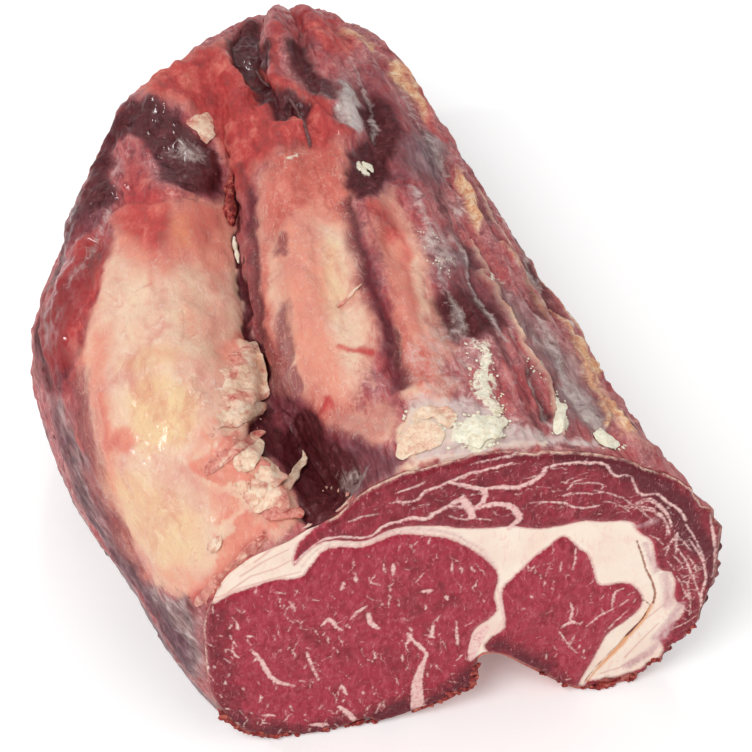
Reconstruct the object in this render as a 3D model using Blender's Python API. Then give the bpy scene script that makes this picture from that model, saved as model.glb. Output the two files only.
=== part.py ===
"""Dry-aged ribeye roast: boneless beef in one piece, cut straight across at one end and rounded at the other.

Four tissues run through it from the cut face to the far end: the eye muscle, the inner muscle beside it, the
cap muscle that wraps over both, and the fat, which is the seam between them and the thick cap on the left
shoulder. Lengths are in millimetres until the meshes are made, in metres. X is to the right of someone who
looks at the cut face, Y runs from the cut face into the roast, and Z is up from the surface that the roast lies
on. The shape is worked out with Y = 0 on the cut face, and an empty then carries it so that the middle of its
underside is the origin.
"""

import math

import bmesh
import bpy
import numpy as np

METRES = 0.001

# Driving dimensions
LENGTH = 385.0
CORE_Z = 52.0
DOME_START = 235.0
TISSUE_GAP = 0.3
OVERSHOOT = 6.0

# Resolution of the solids
SECTION_POINTS = 78
STATION_STEP = 9.0
DOME_STATIONS = 13
OUTLINE_POINTS = 38
TISSUE_STATIONS = 13

# Angles about the core line, in degrees, counted from +X towards +Z
VALLEY_ANGLE = 128.0
VALLEY_SPREAD = 5.5
CAP_CENTRE_ANGLE = 66.0
FAT_CENTRE_ANGLE = 152.0

# Outlines of the tissues on the cut face, as (x, z). Where a tissue reaches the outer surface its outline runs
# past it, and the roast's own form trims it.
EYE_OUTLINE = (
    (-100, 76), (-72, 83), (-56, 86), (-48, 94), (-28, 97), (-13, 99), (-2, 92), (9, 81), (13, 67),
    (12, 51), (6, 42), (8, 22), (8, -14), (-50, -16), (-108, -12), (-108, 40),
)
INNER_OUTLINE = (
    (17, 66), (27, 80), (36, 86), (43, 80), (50, 63), (61, 58), (69, 48), (67, 39), (56, 30), (50, 14),
    (49, -10), (28, -12), (13, 6), (13, 28), (17, 48),
)
CAP_OUTLINE = (
    (-40, 106), (-20, 105), (2, 98), (22, 93), (44, 92), (61, 89), (66, 78), (73, 63), (80, 53), (84, 38),
    (81, 22), (70, 12), (55, 4), (56, -14), (90, -16), (116, 20), (116, 90), (70, 142), (10, 150), (-34, 140),
    (-37, 120),
)

TISSUES = {
    "eye_muscle": EYE_OUTLINE,
    "inner_muscle": INNER_OUTLINE,
    "cap_muscle": CAP_OUTLINE,
}

FINISHES = {
    "eye_muscle": ((0.40, 0.045, 0.065), 0.42),
    "inner_muscle": ((0.44, 0.055, 0.07), 0.42),
    "cap_muscle": ((0.22, 0.035, 0.05), 0.5),
    "fat": ((0.83, 0.66, 0.52), 0.45),
}


def along(distance, *knots):
    """Smooth curve through (distance, value) knots: a cubic between neighbours, its slopes from both sides."""
    at = np.array([knot[0] for knot in knots], float)
    value = np.array([knot[1] for knot in knots], float)
    slope = np.gradient(value, at)
    held = np.clip(distance, at[0], at[-1])
    left = np.clip(np.searchsorted(at, held) - 1, 0, len(at) - 2)
    step = at[left + 1] - at[left]
    t = (held - at[left]) / step
    start = (2 * t**3 - 3 * t**2 + 1) * value[left] + (t**3 - 2 * t**2 + t) * step * slope[left]
    end = (3 * t**2 - 2 * t**3) * value[left + 1] + (t**3 - t**2) * step * slope[left + 1]
    return start + end


def bell(value, centre, spread):
    """Smooth hump of height 1 at the centre."""
    return np.exp(-(((value - centre) / spread) ** 2))


def ramp(value, low, high):
    """Smooth step from 0 at low to 1 at high."""
    t = np.clip((value - low) / (high - low), 0, 1)
    return t * t * (3 - 2 * t)


def smooth_min(a, b, blend):
    share = np.clip(0.5 + 0.5 * (b - a) / blend, 0, 1)
    return b * (1 - share) + a * share - blend * share * (1 - share)


def smooth_max(a, b, blend):
    return -smooth_min(-a, -b, blend)


def core_x(y):
    """The core line bends left with the roast, so that the valley stays at one angle about it."""
    return along(y, (0, 4), (40, -9), (90, -16), (150, -15), (230, -10), (385, 0))


def superellipse(x, z, centre, half, power, tilt):
    """Signed measure of a tilted superellipse: negative inside, and about millimetres near its edge."""
    c, s = math.cos(math.radians(tilt)), math.sin(math.radians(tilt))
    u = (x - centre[0]) * c + (z - centre[1]) * s
    v = (z - centre[1]) * c - (x - centre[0]) * s
    reach = (np.abs(u / half[0]) ** power + np.abs(v / half[1]) ** power) ** (1 / power)
    return (reach - 1) * np.minimum(half[0], half[1])


def left_lobe(x, y, z):
    """The eye muscle under its fat cap. It swells behind the cut face, and narrows to the far end."""
    centre = (
        along(y, (0, -37), (20, -44), (60, -56), (110, -68), (170, -71), (230, -58), (290, -40), (385, -8)),
        along(y, (0, 48), (60, 52), (150, 52), (250, 52), (385, 50)),
    )
    half = (
        along(y, (0, 52), (20, 57), (60, 62), (120, 65), (180, 63), (240, 56), (300, 47), (385, 34)),
        along(y, (0, 56), (50, 59), (150, 61), (250, 57), (385, 46)),
    )
    return superellipse(x, z, centre, half, 2.5, -4)


def right_lobe(x, y, z):
    """The cap muscle over the inner muscle and the seam fat: a broad dome that leans down to the right."""
    centre = (
        along(y, (0, 16), (60, 3), (150, -5), (250, -7), (385, 5)),
        along(y, (0, 60), (60, 60), (150, 58), (250, 55), (385, 52)),
    )
    half = (
        along(y, (0, 80), (60, 77), (150, 73), (250, 64), (385, 38)),
        along(y, (0, 70), (60, 69), (150, 66), (250, 60), (385, 52)),
    )
    return superellipse(x, z, centre, half, 2.2, -14)


def bone_notch(x, y, z):
    """The arch where the backbone was cut away: upright on the eye muscle's side, sloping on the other."""
    height = along(y, (0, 29), (50, 24), (120, 13), (200, 4), (385, -8))
    wall = 9 + core_x(y) - core_x(0)
    slope = height - 0.94 * (x - wall - 8)
    return smooth_max(smooth_max(wall - x, z - slope, 5), z - height, 4)


def relief(y, angle):
    """Outward millimetres of what stands on the lobes or is sunk into them, as (distance, degrees) allow."""
    on_cap = ramp(angle, 8, 30) * (1 - ramp(angle, 108, 122))
    on_fat = ramp(angle, 134, 142) * (1 - ramp(angle, 176, 196))
    far = ramp(y, 225, 290)
    valley = -along(y, (0, 2), (25, 12), (60, 11), (120, 8), (200, 8), (270, 5), (385, 0))
    valley = valley * bell(angle, VALLEY_ANGLE - 2, VALLEY_SPREAD)
    fat_edge = 3.5 * bell(angle, VALLEY_ANGLE + 8, 5) * ramp(y, 8, 40) * (1 - ramp(y, 170, 215))
    ragged = 1.8 * bell(angle, VALLEY_ANGLE + 5, 5) * np.sin(y / 6.1) * np.sin(y / 9.7 + 1)
    ragged = ragged * ramp(y, 10, 30) * (1 - ramp(y, 130, 170))
    bundles = 1.5 * on_cap * ramp(y, 30, 80) * np.cos(np.radians(angle - CAP_CENTRE_ANGLE) * 17 + y / 120)
    lumps = 1.8 * on_fat * np.sin(y / 17 + angle / 19) * np.cos(y / 41 - angle / 13)
    shoulder = 4.5 * bell(angle, FAT_CENTRE_ANGLE, 24) * bell(y, 75, 60)
    hump = 5 * bell(angle, 147, 13) * bell(y, 262, 26) - 5 * bell(angle, 168, 9) * bell(y, 215, 34)
    tuck = -5 * bell(angle, 198, 24) * bell(y, 75, 62)
    furrows = -5 * far * (bell(angle, 112, 6) + 0.8 * bell(angle, 88, 5) + 0.7 * bell(angle, 52, 6))
    ridges = 3.5 * far * (bell(angle, 124, 8) + bell(angle, 99, 6))
    side_seam = -3 * bell(angle, 44, 5) * bell(y, 190, 90) - 2.5 * bell(angle, 28, 4) * bell(y, 120, 110)
    crag_zone = np.maximum(ramp(angle, 200, 220), 1 - ramp(angle, 20, 40)) * (1 - ramp(y, 4, 14))
    crags = 2 * crag_zone * np.sin(angle * 0.83) * np.sin(angle * 0.37 + 2)
    on_left = valley + fat_edge + ragged + lumps + shoulder + hump + tuck
    on_right = bundles + furrows + ridges + side_seam
    return on_left + on_right + crags


def roast_form(x, y, z, detail):
    """Signed measure of the roast's section at y: negative inside."""
    lobes = smooth_min(left_lobe(x, y, z), right_lobe(x, y, z), 10)
    if detail:
        angle = np.degrees(np.arctan2(z - CORE_Z, x - core_x(y))) % 360
        lobes = smooth_max(lobes - relief(y, angle), -bone_notch(x, y, z), 3)
    return smooth_max(lobes, -z, 4)


def dome_share(y, angle):
    """Share of the section that is left as the far end rounds off. The underside stays down for longer."""
    t = np.clip((y - DOME_START) / (LENGTH - DOME_START), 0, 1)
    power = 2.3 + 1.1 * (1 - np.sin(np.radians(angle)))
    return np.sqrt(np.clip(1 - t**power, 0, 1))


def section_radius(y, angle, detail=True):
    """Distance from the core line to the surface along each ray, found by halving."""
    direction = np.radians(angle)
    near = np.zeros(np.broadcast(y, angle).shape)
    far = near + 170.0
    for _ in range(30):
        middle = (near + far) / 2
        x = core_x(y) + middle * np.cos(direction)
        z = CORE_Z + middle * np.sin(direction)
        inside = roast_form(x, y, z, detail) < 0
        near = np.where(inside, middle, near)
        far = np.where(inside, far, middle)
    return near


def place(y, angle, radius):
    """Points at these radii about the core line, as an array that ends in x, y, z."""
    direction = np.radians(angle)
    x = core_x(y) + radius * np.cos(direction)
    z = CORE_Z + radius * np.sin(direction)
    return np.stack([x, y + 0 * radius, z], -1)


def stations():
    """Distances from the cut face: even steps along the body, then closer steps as the dome turns in."""
    body = np.arange(0, DOME_START, STATION_STEP)
    turn = np.linspace(0, math.pi / 2, DOME_STATIONS + 1)[:-1]
    return np.concatenate([[0, 4], body[1:], DOME_START + (LENGTH - DOME_START) * np.sin(turn)])


def section_angles():
    """Angles round the section, closer together at the valley and at the bone notch."""
    fine = np.arange(0, 360, 0.25)
    density = 1 + 1.6 * bell(fine, VALLEY_ANGLE, 14) + 1.2 * bell(fine, 290, 20)
    share = np.cumsum(density) / density.sum()
    return np.interp(np.arange(SECTION_POINTS) / SECTION_POINTS, share, fine)


def closed_curve(outline, count):
    """Evenly spaced points on a smooth closed curve through the outline's points."""
    corner = np.array(outline, float)
    before, after, second = np.roll(corner, 1, 0), np.roll(corner, -1, 0), np.roll(corner, -2, 0)
    t = np.linspace(0, 1, 12, endpoint=False)[:, None, None]
    curve = 0.5 * (
        2 * corner
        + (after - before) * t
        + (2 * before - 5 * corner + 4 * after - second) * t**2
        + (3 * corner - before - 3 * after + second) * t**3
    )
    curve = curve.transpose(1, 0, 2).reshape(-1, 2)
    looped = np.vstack([curve, curve[:1]])
    run = np.concatenate([[0], np.cumsum(np.linalg.norm(np.diff(looped, axis=0), axis=1))])
    wanted = np.linspace(0, run[-1], count, endpoint=False)
    return np.stack([np.interp(wanted, run, looped[:, axis]) for axis in (0, 1)], -1)


def grown(loop, distance):
    """A closed loop of (x, z) points moved outwards, whichever way round it runs."""
    edge = np.roll(loop, -1, 0) - np.roll(loop, 1, 0)
    normal = np.stack([edge[:, 1], -edge[:, 0]], -1) / np.linalg.norm(edge, axis=1)[:, None]
    x, z = loop[:, 0], loop[:, 1]
    area = (x * np.roll(z, -1) - np.roll(x, -1) * z).sum()
    return loop + normal * distance * np.sign(area)


def object_from_rings(name, rings, collection, carrier):
    """A closed mesh from rings of points, one ring a station, with a face over each end."""
    count = rings.shape[1]
    body = bmesh.new()
    rows = [[body.verts.new(point * METRES) for point in ring] for ring in rings]
    for row, following in zip(rows, rows[1:]):
        for i in range(count):
            j = (i + 1) % count
            body.faces.new((row[i], row[j], following[j], following[i]))
    body.faces.new(rows[0][::-1])
    body.faces.new(rows[-1])
    bmesh.ops.recalc_face_normals(body, faces=body.faces)
    bmesh.ops.triangulate(body, faces=body.faces, quad_method="FIXED")
    mesh = bpy.data.meshes.new(name)
    body.to_mesh(mesh)
    body.free()
    obj = bpy.data.objects.new(name, mesh)
    obj.parent = carrier
    collection.objects.link(obj)
    return obj


def outer_rings():
    """The roast's outer form: its sections as rings, which close to a small tip at the far end."""
    y, angle = np.meshgrid(stations(), section_angles(), indexing="ij")
    return place(y, angle, section_radius(y, angle) * dome_share(y, angle))


def carrier_for(rings, collection):
    """An empty that moves the middle of the form's underside to the origin."""
    low, high = rings.min(axis=(0, 1)), rings.max(axis=(0, 1))
    carrier = bpy.data.objects.new("underside_middle", None)
    carrier.location = (-METRES * (low[0] + high[0]) / 2, -METRES * (low[1] + high[1]) / 2, 0)
    collection.objects.link(carrier)
    return carrier


def tissue_body(name, outline, growth, collection, carrier):
    """A tissue from end to end, and past both ends: its outline keeps its share of the section."""
    loop = closed_curve(outline, OUTLINE_POINTS)
    offset = loop - np.array([core_x(0.0), CORE_Z])
    angle = np.degrees(np.arctan2(offset[:, 1], offset[:, 0])) % 360
    share = np.linalg.norm(offset, axis=1) / section_radius(0.0, angle, detail=False)
    rings = []
    for y in np.linspace(-OVERSHOOT, LENGTH + OVERSHOOT, TISSUE_STATIONS):
        narrowed = np.maximum(dome_share(y, angle), 0.6)
        radius = share * narrowed * section_radius(max(y, 0.0), angle, detail=False)
        ring = place(y, angle, radius)
        ring[:, [0, 2]] = grown(ring[:, [0, 2]], growth)
        rings.append(ring)
    return object_from_rings(name, np.array(rings), collection, carrier)


def boolean(obj, other, operation):
    modifier = obj.modifiers.new(operation.lower() + "_" + other.name, "BOOLEAN")
    modifier.operation = operation
    modifier.object = other
    modifier.solver = "EXACT"


def helper(obj):
    """Marks a guide or a cutter, which isn't part of the roast."""
    obj.hide_render = True
    obj.display_type = "WIRE"
    return obj


def finish(obj):
    """Gives the piece its own material."""
    colour, roughness = FINISHES[obj.name]
    material = bpy.data.materials.new(obj.name)
    material.use_nodes = True
    shader = material.node_tree.nodes["Principled BSDF"]
    shader.inputs["Base Color"].default_value = (*colour, 1)
    shader.inputs["Roughness"].default_value = roughness
    obj.data.materials.append(material)


def collection_named(name):
    made = bpy.data.collections.new(name)
    bpy.context.scene.collection.children.link(made)
    return made


def main():
    for obj in list(bpy.data.objects):
        bpy.data.objects.remove(obj)
    roast = collection_named("ribeye_roast")
    guides = collection_named("cutters")
    rings = outer_rings()
    carrier = carrier_for(rings, roast)
    trim = helper(object_from_rings("roast_form", rings, guides, carrier))
    fat = object_from_rings("fat", rings, roast, carrier)
    for name, outline in TISSUES.items():
        muscle = tissue_body(name, outline, 0.0, roast, carrier)
        boolean(muscle, trim, "INTERSECT")
        finish(muscle)
        cavity = helper(tissue_body(name + "_cavity", outline, TISSUE_GAP, guides, carrier))
        boolean(fat, cavity, "DIFFERENCE")
    finish(fat)


main()
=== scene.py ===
"""The look of a dry-aged ribeye roast: its cut face, its dried skin, and the torn fat and scraps on them.

Lengths are in millimetres in the roast's own layout until a mesh is made: x to the right of someone who looks
at the cut face, y from the cut face into the roast, z up from the floor. in_frame() moves them into the row's
frame, in metres. Outlines and lines that are named PIXELS are places in the photograph, 752 pixels wide, and
each is carried along the camera's ray to the cut face or to the skin, so that it sits on the roast from any
side.
"""

import itertools
import math

import bpy
import numpy as np
from mathutils import Matrix, Vector


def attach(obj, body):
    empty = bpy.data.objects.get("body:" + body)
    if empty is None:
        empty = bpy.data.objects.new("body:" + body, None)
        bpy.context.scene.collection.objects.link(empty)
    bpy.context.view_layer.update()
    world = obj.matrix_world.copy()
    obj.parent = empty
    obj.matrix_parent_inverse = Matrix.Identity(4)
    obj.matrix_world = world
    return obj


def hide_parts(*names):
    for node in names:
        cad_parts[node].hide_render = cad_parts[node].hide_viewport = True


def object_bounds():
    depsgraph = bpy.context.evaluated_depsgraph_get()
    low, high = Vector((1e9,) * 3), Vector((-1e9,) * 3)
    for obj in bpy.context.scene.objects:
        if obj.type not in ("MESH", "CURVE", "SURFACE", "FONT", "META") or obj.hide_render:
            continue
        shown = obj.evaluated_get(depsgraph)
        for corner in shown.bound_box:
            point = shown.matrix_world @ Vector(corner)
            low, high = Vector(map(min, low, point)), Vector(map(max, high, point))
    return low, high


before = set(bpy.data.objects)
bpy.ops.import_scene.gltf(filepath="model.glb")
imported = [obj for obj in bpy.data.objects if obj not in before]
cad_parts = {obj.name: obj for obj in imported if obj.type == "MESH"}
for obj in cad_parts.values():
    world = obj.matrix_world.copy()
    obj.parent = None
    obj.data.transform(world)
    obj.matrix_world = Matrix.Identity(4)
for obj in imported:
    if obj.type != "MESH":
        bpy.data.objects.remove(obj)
cad_low, cad_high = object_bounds()

METRES = 0.001

# The roast's form, as in the CAD
LENGTH = 385.0
CORE_Z = 52.0
DOME_START = 235.0
SECTION_POINTS = 78
STATION_STEP = 9.0
DOME_STATIONS = 13
VALLEY_ANGLE = 128.0
VALLEY_SPREAD = 5.5
CAP_CENTRE_ANGLE = 66.0
FAT_CENTRE_ANGLE = 152.0

# The camera, in the roast's layout
PICTURE = 752
FOCAL_PIXELS = 1930.0
SENSOR = 36.0
CAMERA_AZIMUTH = -11.0
CAMERA_ELEVATION = 42.0
CAMERA_DISTANCE = 800.0
CAMERA_TARGET = (1.0, 150.0, 33.0)

# How fine the surfaces are
BODY_ROWS = 230
DOME_ROWS = 132
DOME_COLUMNS = 252
SHOULDER_COLUMNS = 256
UNDER_COLUMNS = 96
FACE_COLUMNS = 376
FACE_ROWS = 256
FLAP_RINGS = 9
LUMP_RINGS = 6
LUMP_POINTS = 9

# Depth, in millimetres, that counts as far outside an outline or a line
FAR_OUTSIDE = -4.0


def along(distance, *knots):
    """Smooth curve through (distance, value) knots: cubics whose slopes come from both neighbours."""
    at = np.array([knot[0] for knot in knots], float)
    value = np.array([knot[1] for knot in knots], float)
    slope = np.gradient(value, at)
    held = np.clip(distance, at[0], at[-1])
    left = np.clip(np.searchsorted(at, held) - 1, 0, len(at) - 2)
    step = at[left + 1] - at[left]
    t = (held - at[left]) / step
    start = (2 * t**3 - 3 * t**2 + 1) * value[left] + (t**3 - 2 * t**2 + t) * step * slope[left]
    end = (3 * t**2 - 2 * t**3) * value[left + 1] + (t**3 - t**2) * step * slope[left + 1]
    return start + end


def bell(value, centre, spread):
    """Smooth hump of height 1 at the centre."""
    return np.exp(-(((value - centre) / spread) ** 2))


def ramp(value, low, high):
    """Smooth step from 0 at low to 1 at high."""
    t = np.clip((value - low) / (high - low), 0, 1)
    return t * t * (3 - 2 * t)


def smooth_min(a, b, blend):
    share = np.clip(0.5 + 0.5 * (b - a) / blend, 0, 1)
    return b * (1 - share) + a * share - blend * share * (1 - share)


def smooth_max(a, b, blend):
    return -smooth_min(-a, -b, blend)


def core_x(y):
    """The core line bends left with the roast, so that the valley stays at one angle about it."""
    return along(y, (0, 4), (40, -9), (90, -16), (150, -15), (230, -10), (385, 0))


def superellipse(x, z, centre, half, power, tilt):
    """Signed measure of a tilted superellipse: negative inside, and about millimetres near its edge."""
    c, s = math.cos(math.radians(tilt)), math.sin(math.radians(tilt))
    u = (x - centre[0]) * c + (z - centre[1]) * s
    v = (z - centre[1]) * c - (x - centre[0]) * s
    reach = (np.abs(u / half[0]) ** power + np.abs(v / half[1]) ** power) ** (1 / power)
    return (reach - 1) * np.minimum(half[0], half[1])


def left_lobe(x, y, z):
    """The eye muscle under its fat cap. It swells behind the cut face, and narrows to the far end."""
    centre = (
        along(y, (0, -37), (20, -44), (60, -56), (110, -68), (170, -71), (230, -58), (290, -40), (385, -8)),
        along(y, (0, 48), (60, 52), (150, 52), (250, 52), (385, 50)),
    )
    half = (
        along(y, (0, 52), (20, 57), (60, 62), (120, 65), (180, 63), (240, 56), (300, 47), (385, 34)),
        along(y, (0, 56), (50, 59), (150, 61), (250, 57), (385, 46)),
    )
    return superellipse(x, z, centre, half, 2.5, -4)


def right_lobe(x, y, z):
    """The cap muscle over the inner muscle and the seam fat: a broad dome that leans down to the right."""
    centre = (
        along(y, (0, 16), (60, 3), (150, -5), (250, -7), (385, 5)),
        along(y, (0, 60), (60, 60), (150, 58), (250, 55), (385, 52)),
    )
    half = (
        along(y, (0, 80), (60, 77), (150, 73), (250, 64), (385, 38)),
        along(y, (0, 70), (60, 69), (150, 66), (250, 60), (385, 52)),
    )
    return superellipse(x, z, centre, half, 2.2, -14)


def bone_notch(x, y, z):
    """The arch where the backbone was cut away: upright on the eye muscle's side, sloping on the other."""
    height = along(y, (0, 29), (50, 24), (120, 13), (200, 4), (385, -8))
    wall = 9 + core_x(y) - core_x(0)
    slope = height - 0.94 * (x - wall - 8)
    return smooth_max(smooth_max(wall - x, z - slope, 5), z - height, 4)


def valley_depth(y, angle):
    depth = along(y, (0, 2), (25, 12), (60, 11), (120, 8), (200, 8), (270, 5), (385, 0))
    return depth * bell(angle, VALLEY_ANGLE - 2, VALLEY_SPREAD)


def relief(y, angle):
    """Outward millimetres of what stands on the lobes or is sunk into them, as (distance, degrees) allow."""
    on_cap = ramp(angle, 8, 30) * (1 - ramp(angle, 108, 122))
    on_fat = ramp(angle, 134, 142) * (1 - ramp(angle, 176, 196))
    far = ramp(y, 225, 290)
    fat_edge = 3.5 * bell(angle, VALLEY_ANGLE + 8, 5) * ramp(y, 8, 40) * (1 - ramp(y, 170, 215))
    ragged = 1.8 * bell(angle, VALLEY_ANGLE + 5, 5) * np.sin(y / 6.1) * np.sin(y / 9.7 + 1)
    ragged = ragged * ramp(y, 10, 30) * (1 - ramp(y, 130, 170))
    bundles = 1.5 * on_cap * ramp(y, 30, 80) * np.cos(np.radians(angle - CAP_CENTRE_ANGLE) * 17 + y / 120)
    lumps = 1.8 * on_fat * np.sin(y / 17 + angle / 19) * np.cos(y / 41 - angle / 13)
    shoulder = 4.5 * bell(angle, FAT_CENTRE_ANGLE, 24) * bell(y, 75, 60)
    hump = 5 * bell(angle, 147, 13) * bell(y, 262, 26) - 5 * bell(angle, 168, 9) * bell(y, 215, 34)
    tuck = -5 * bell(angle, 198, 24) * bell(y, 75, 62)
    furrows = -5 * far * (bell(angle, 112, 6) + 0.8 * bell(angle, 88, 5) + 0.7 * bell(angle, 52, 6))
    ridges = 3.5 * far * (bell(angle, 124, 8) + bell(angle, 99, 6))
    side_seam = -3 * bell(angle, 44, 5) * bell(y, 190, 90) - 2.5 * bell(angle, 28, 4) * bell(y, 120, 110)
    crag_zone = np.maximum(ramp(angle, 200, 220), 1 - ramp(angle, 20, 40)) * (1 - ramp(y, 4, 14))
    crags = 1.5 * crag_zone * np.sin(angle * 0.83 + 1.9 * np.sin(angle * 0.19)) * np.sin(angle * 0.37 + 2)
    on_left = fat_edge + ragged + lumps + shoulder + hump + tuck - valley_depth(y, angle)
    on_right = bundles + furrows + ridges + side_seam
    return on_left + on_right + crags


def roast_form(x, y, z):
    """Signed measure of the roast's section at y: negative inside."""
    lobes = smooth_min(left_lobe(x, y, z), right_lobe(x, y, z), 10)
    angle = np.degrees(np.arctan2(z - CORE_Z, x - core_x(y))) % 360
    lobes = smooth_max(lobes - relief(y, angle), -bone_notch(x, y, z), 3)
    return smooth_max(lobes, -z, 4)


def dome_share(y, angle):
    """Share of the section that is left as the far end rounds off. The underside stays down for longer."""
    t = np.clip((y - DOME_START) / (LENGTH - DOME_START), 0, 1)
    power = 2.3 + 1.1 * (1 - np.sin(np.radians(angle)))
    return np.sqrt(np.clip(1 - t**power, 0, 1))


def section_radius(y, angle):
    """Distance from the core line to the surface along each ray, found by halving."""
    direction = np.radians(angle)
    near = np.zeros(np.broadcast(y, angle).shape)
    far = near + 170.0
    for _ in range(18):
        middle = (near + far) / 2
        x = core_x(y) + middle * np.cos(direction)
        inside = roast_form(x, y, CORE_Z + middle * np.sin(direction)) < 0
        near = np.where(inside, middle, near)
        far = np.where(inside, far, middle)
    return near


def place(y, angle, radius):
    """Points at these radii about the core line, as an array that ends in x, y, z."""
    direction = np.radians(angle)
    x = core_x(y) + radius * np.cos(direction)
    return np.stack([x, y + 0 * radius, CORE_Z + radius * np.sin(direction)], -1)


def cad_left_edge():
    """Lowest x of the CAD's rings, from the same stations and angles as there."""
    body = np.arange(0, DOME_START, STATION_STEP)
    turn = np.linspace(0, math.pi / 2, DOME_STATIONS + 1)[:-1]
    stations = np.concatenate([[0, 4], body[1:], DOME_START + (LENGTH - DOME_START) * np.sin(turn)])
    fine = np.arange(0, 360, 0.25)
    density = 1 + 1.6 * bell(fine, VALLEY_ANGLE, 14) + 1.2 * bell(fine, 290, 20)
    angles = np.interp(np.arange(SECTION_POINTS) / SECTION_POINTS, np.cumsum(density) / density.sum(), fine)
    y, angle = np.meshgrid(stations, angles, indexing="ij")
    return place(y, angle, section_radius(y, angle) * dome_share(y, angle))[..., 0].min()


FRAME_SHIFT = np.array([cad_low.x / METRES - cad_left_edge(), cad_low.y / METRES, 0.0])


def in_frame(points):
    """Points of the roast's own layout in the row's frame, in metres."""
    return (np.asarray(points, float) + FRAME_SHIFT) * METRES


# The picture

def camera_axes():
    """Unit vectors from the target back to the camera, to its right and up."""
    azimuth, elevation = math.radians(CAMERA_AZIMUTH), math.radians(CAMERA_ELEVATION)
    flat = math.cos(elevation)
    back = np.array([math.sin(azimuth) * flat, -math.cos(azimuth) * flat, math.sin(elevation)])
    right = np.cross([0, 0, 1], back)
    right = right / np.linalg.norm(right)
    return back, right, np.cross(back, right)


BACK, RIGHT, UP = camera_axes()
EYE_POINT = np.array(CAMERA_TARGET) + CAMERA_DISTANCE * BACK


def in_picture(points):
    """Pixels of points of the roast's layout, by central projection."""
    seen = points - EYE_POINT
    depth = -(seen @ BACK)
    across = PICTURE / 2 + FOCAL_PIXELS * (seen @ RIGHT) / depth
    return np.stack([across, PICTURE / 2 - FOCAL_PIXELS * (seen @ UP) / depth], -1)


def on_face(pixels):
    """Pixels carried along their rays to the cut face, as (x, z)."""
    pixels = np.asarray(pixels, float)
    across = (pixels[..., 0:1] - PICTURE / 2) / FOCAL_PIXELS
    down = (pixels[..., 1:2] - PICTURE / 2) / FOCAL_PIXELS
    ray = across * RIGHT - down * UP - BACK
    hit = EYE_POINT - ray * EYE_POINT[1] / ray[..., 1:2]
    return hit[..., [0, 2]]


def facing(points, normals):
    """How squarely each point faces the camera's place, from -1 to 1."""
    view = EYE_POINT - points
    return (view * normals).sum(-1) / np.linalg.norm(view, axis=-1)


# Shapes from numbers

def value_noise(points, size, seed):
    """Smooth random values from -1 to 1: a lattice with cells of this size, blended between its corners."""
    table = np.random.default_rng(seed).uniform(-1, 1, (32, 32, 32))
    cell = points / np.asarray(size, float)
    base = np.floor(cell).astype(int)
    t = cell - base
    t = t * t * (3 - 2 * t)
    total = np.zeros(points.shape[:-1])
    for corner in itertools.product((0, 1), repeat=3):
        index = (base + corner) % 32
        weight = np.prod(np.where(corner, t, 1 - t), axis=-1)
        total += weight * table[index[..., 0], index[..., 1], index[..., 2]]
    return total


def fractal(points, size, seed, octaves):
    """Value noise summed over octaves, each at half the size and half the height of the one before."""
    size = np.asarray(size, float)
    return sum(value_noise(points, size / 2**k, seed + k) / 2**k for k in range(octaves))


def wrinkles(points, size, seed, octaves):
    """Ridged noise from 0 to about 1: one minus the size of fractal noise, with a crest at its zero lines."""
    return 1 - np.abs(fractal(points, size, seed, octaves))


def closed_curve(outline, count):
    """Evenly spaced points on a smooth closed curve through the outline's points."""
    corner = np.array(outline, float)
    before, after, second = np.roll(corner, 1, 0), np.roll(corner, -1, 0), np.roll(corner, -2, 0)
    t = np.linspace(0, 1, 12, endpoint=False)[:, None, None]
    curve = 0.5 * (
        2 * corner
        + (after - before) * t
        + (2 * before - 5 * corner + 4 * after - second) * t**2
        + (3 * corner - before - 3 * after + second) * t**3
    )
    curve = curve.transpose(1, 0, 2).reshape(-1, 2)
    looped = np.vstack([curve, curve[:1]])
    run = np.concatenate([[0], np.cumsum(np.linalg.norm(np.diff(looped, axis=0), axis=1))])
    wanted = np.linspace(0, run[-1], count, endpoint=False)
    return np.stack([np.interp(wanted, run, looped[:, axis]) for axis in (0, 1)], -1)


def depth_inside(points, outline):
    """Distance to a closed outline's edge, positive inside it and negative outside."""
    corner = np.array(outline, float)
    nearest = np.full(len(points), np.inf)
    inside = np.zeros(len(points), bool)
    for a, b in zip(corner, np.roll(corner, -1, 0)):
        edge = b - a
        t = np.clip((points - a) @ edge / max(edge @ edge, 1e-9), 0, 1)
        nearest = np.minimum(nearest, np.hypot(*(points - a - t[:, None] * edge).T))
        crosses = (a[1] > points[:, 1]) != (b[1] > points[:, 1])
        rise = edge[1] if edge[1] else 1e-9
        inside ^= crosses & (points[:, 0] < a[0] + (points[:, 1] - a[1]) * edge[0] / rise)
    return np.where(inside, nearest, -nearest)


def depth_in_line(points, line, start_half, end_half=None, taper=0.0):
    """Half width of a line minus the distance to it: positive on the line. The half width runs from start to
    end, and a taper takes this share of it away at both ends."""
    line = np.array(line, float)
    end_half = start_half if end_half is None else end_half
    halves = np.linspace(start_half, end_half, len(line))
    halves = halves * (1 - taper * (1 - np.sin(np.linspace(0, math.pi, len(line)))))
    best = np.full(len(points), -np.inf)
    for a, b, wide, narrow in zip(line, line[1:], halves, halves[1:]):
        edge = b - a
        t = np.clip((points - a) @ edge / max(edge @ edge, 1e-9), 0, 1)
        distance = np.hypot(*(points - a - t[:, None] * edge).T)
        best = np.maximum(best, wide + t * (narrow - wide) - distance)
    return best


# Meshes

def signed_volume(points, faces):
    total = 0.0
    for corners in faces:
        for k in range(1, corners.shape[1] - 1):
            a, b, c = points[corners[:, 0]], points[corners[:, k]], points[corners[:, k + 1]]
            total += np.einsum("ij,ij->i", a, np.cross(b, c)).sum()
    return total


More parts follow.
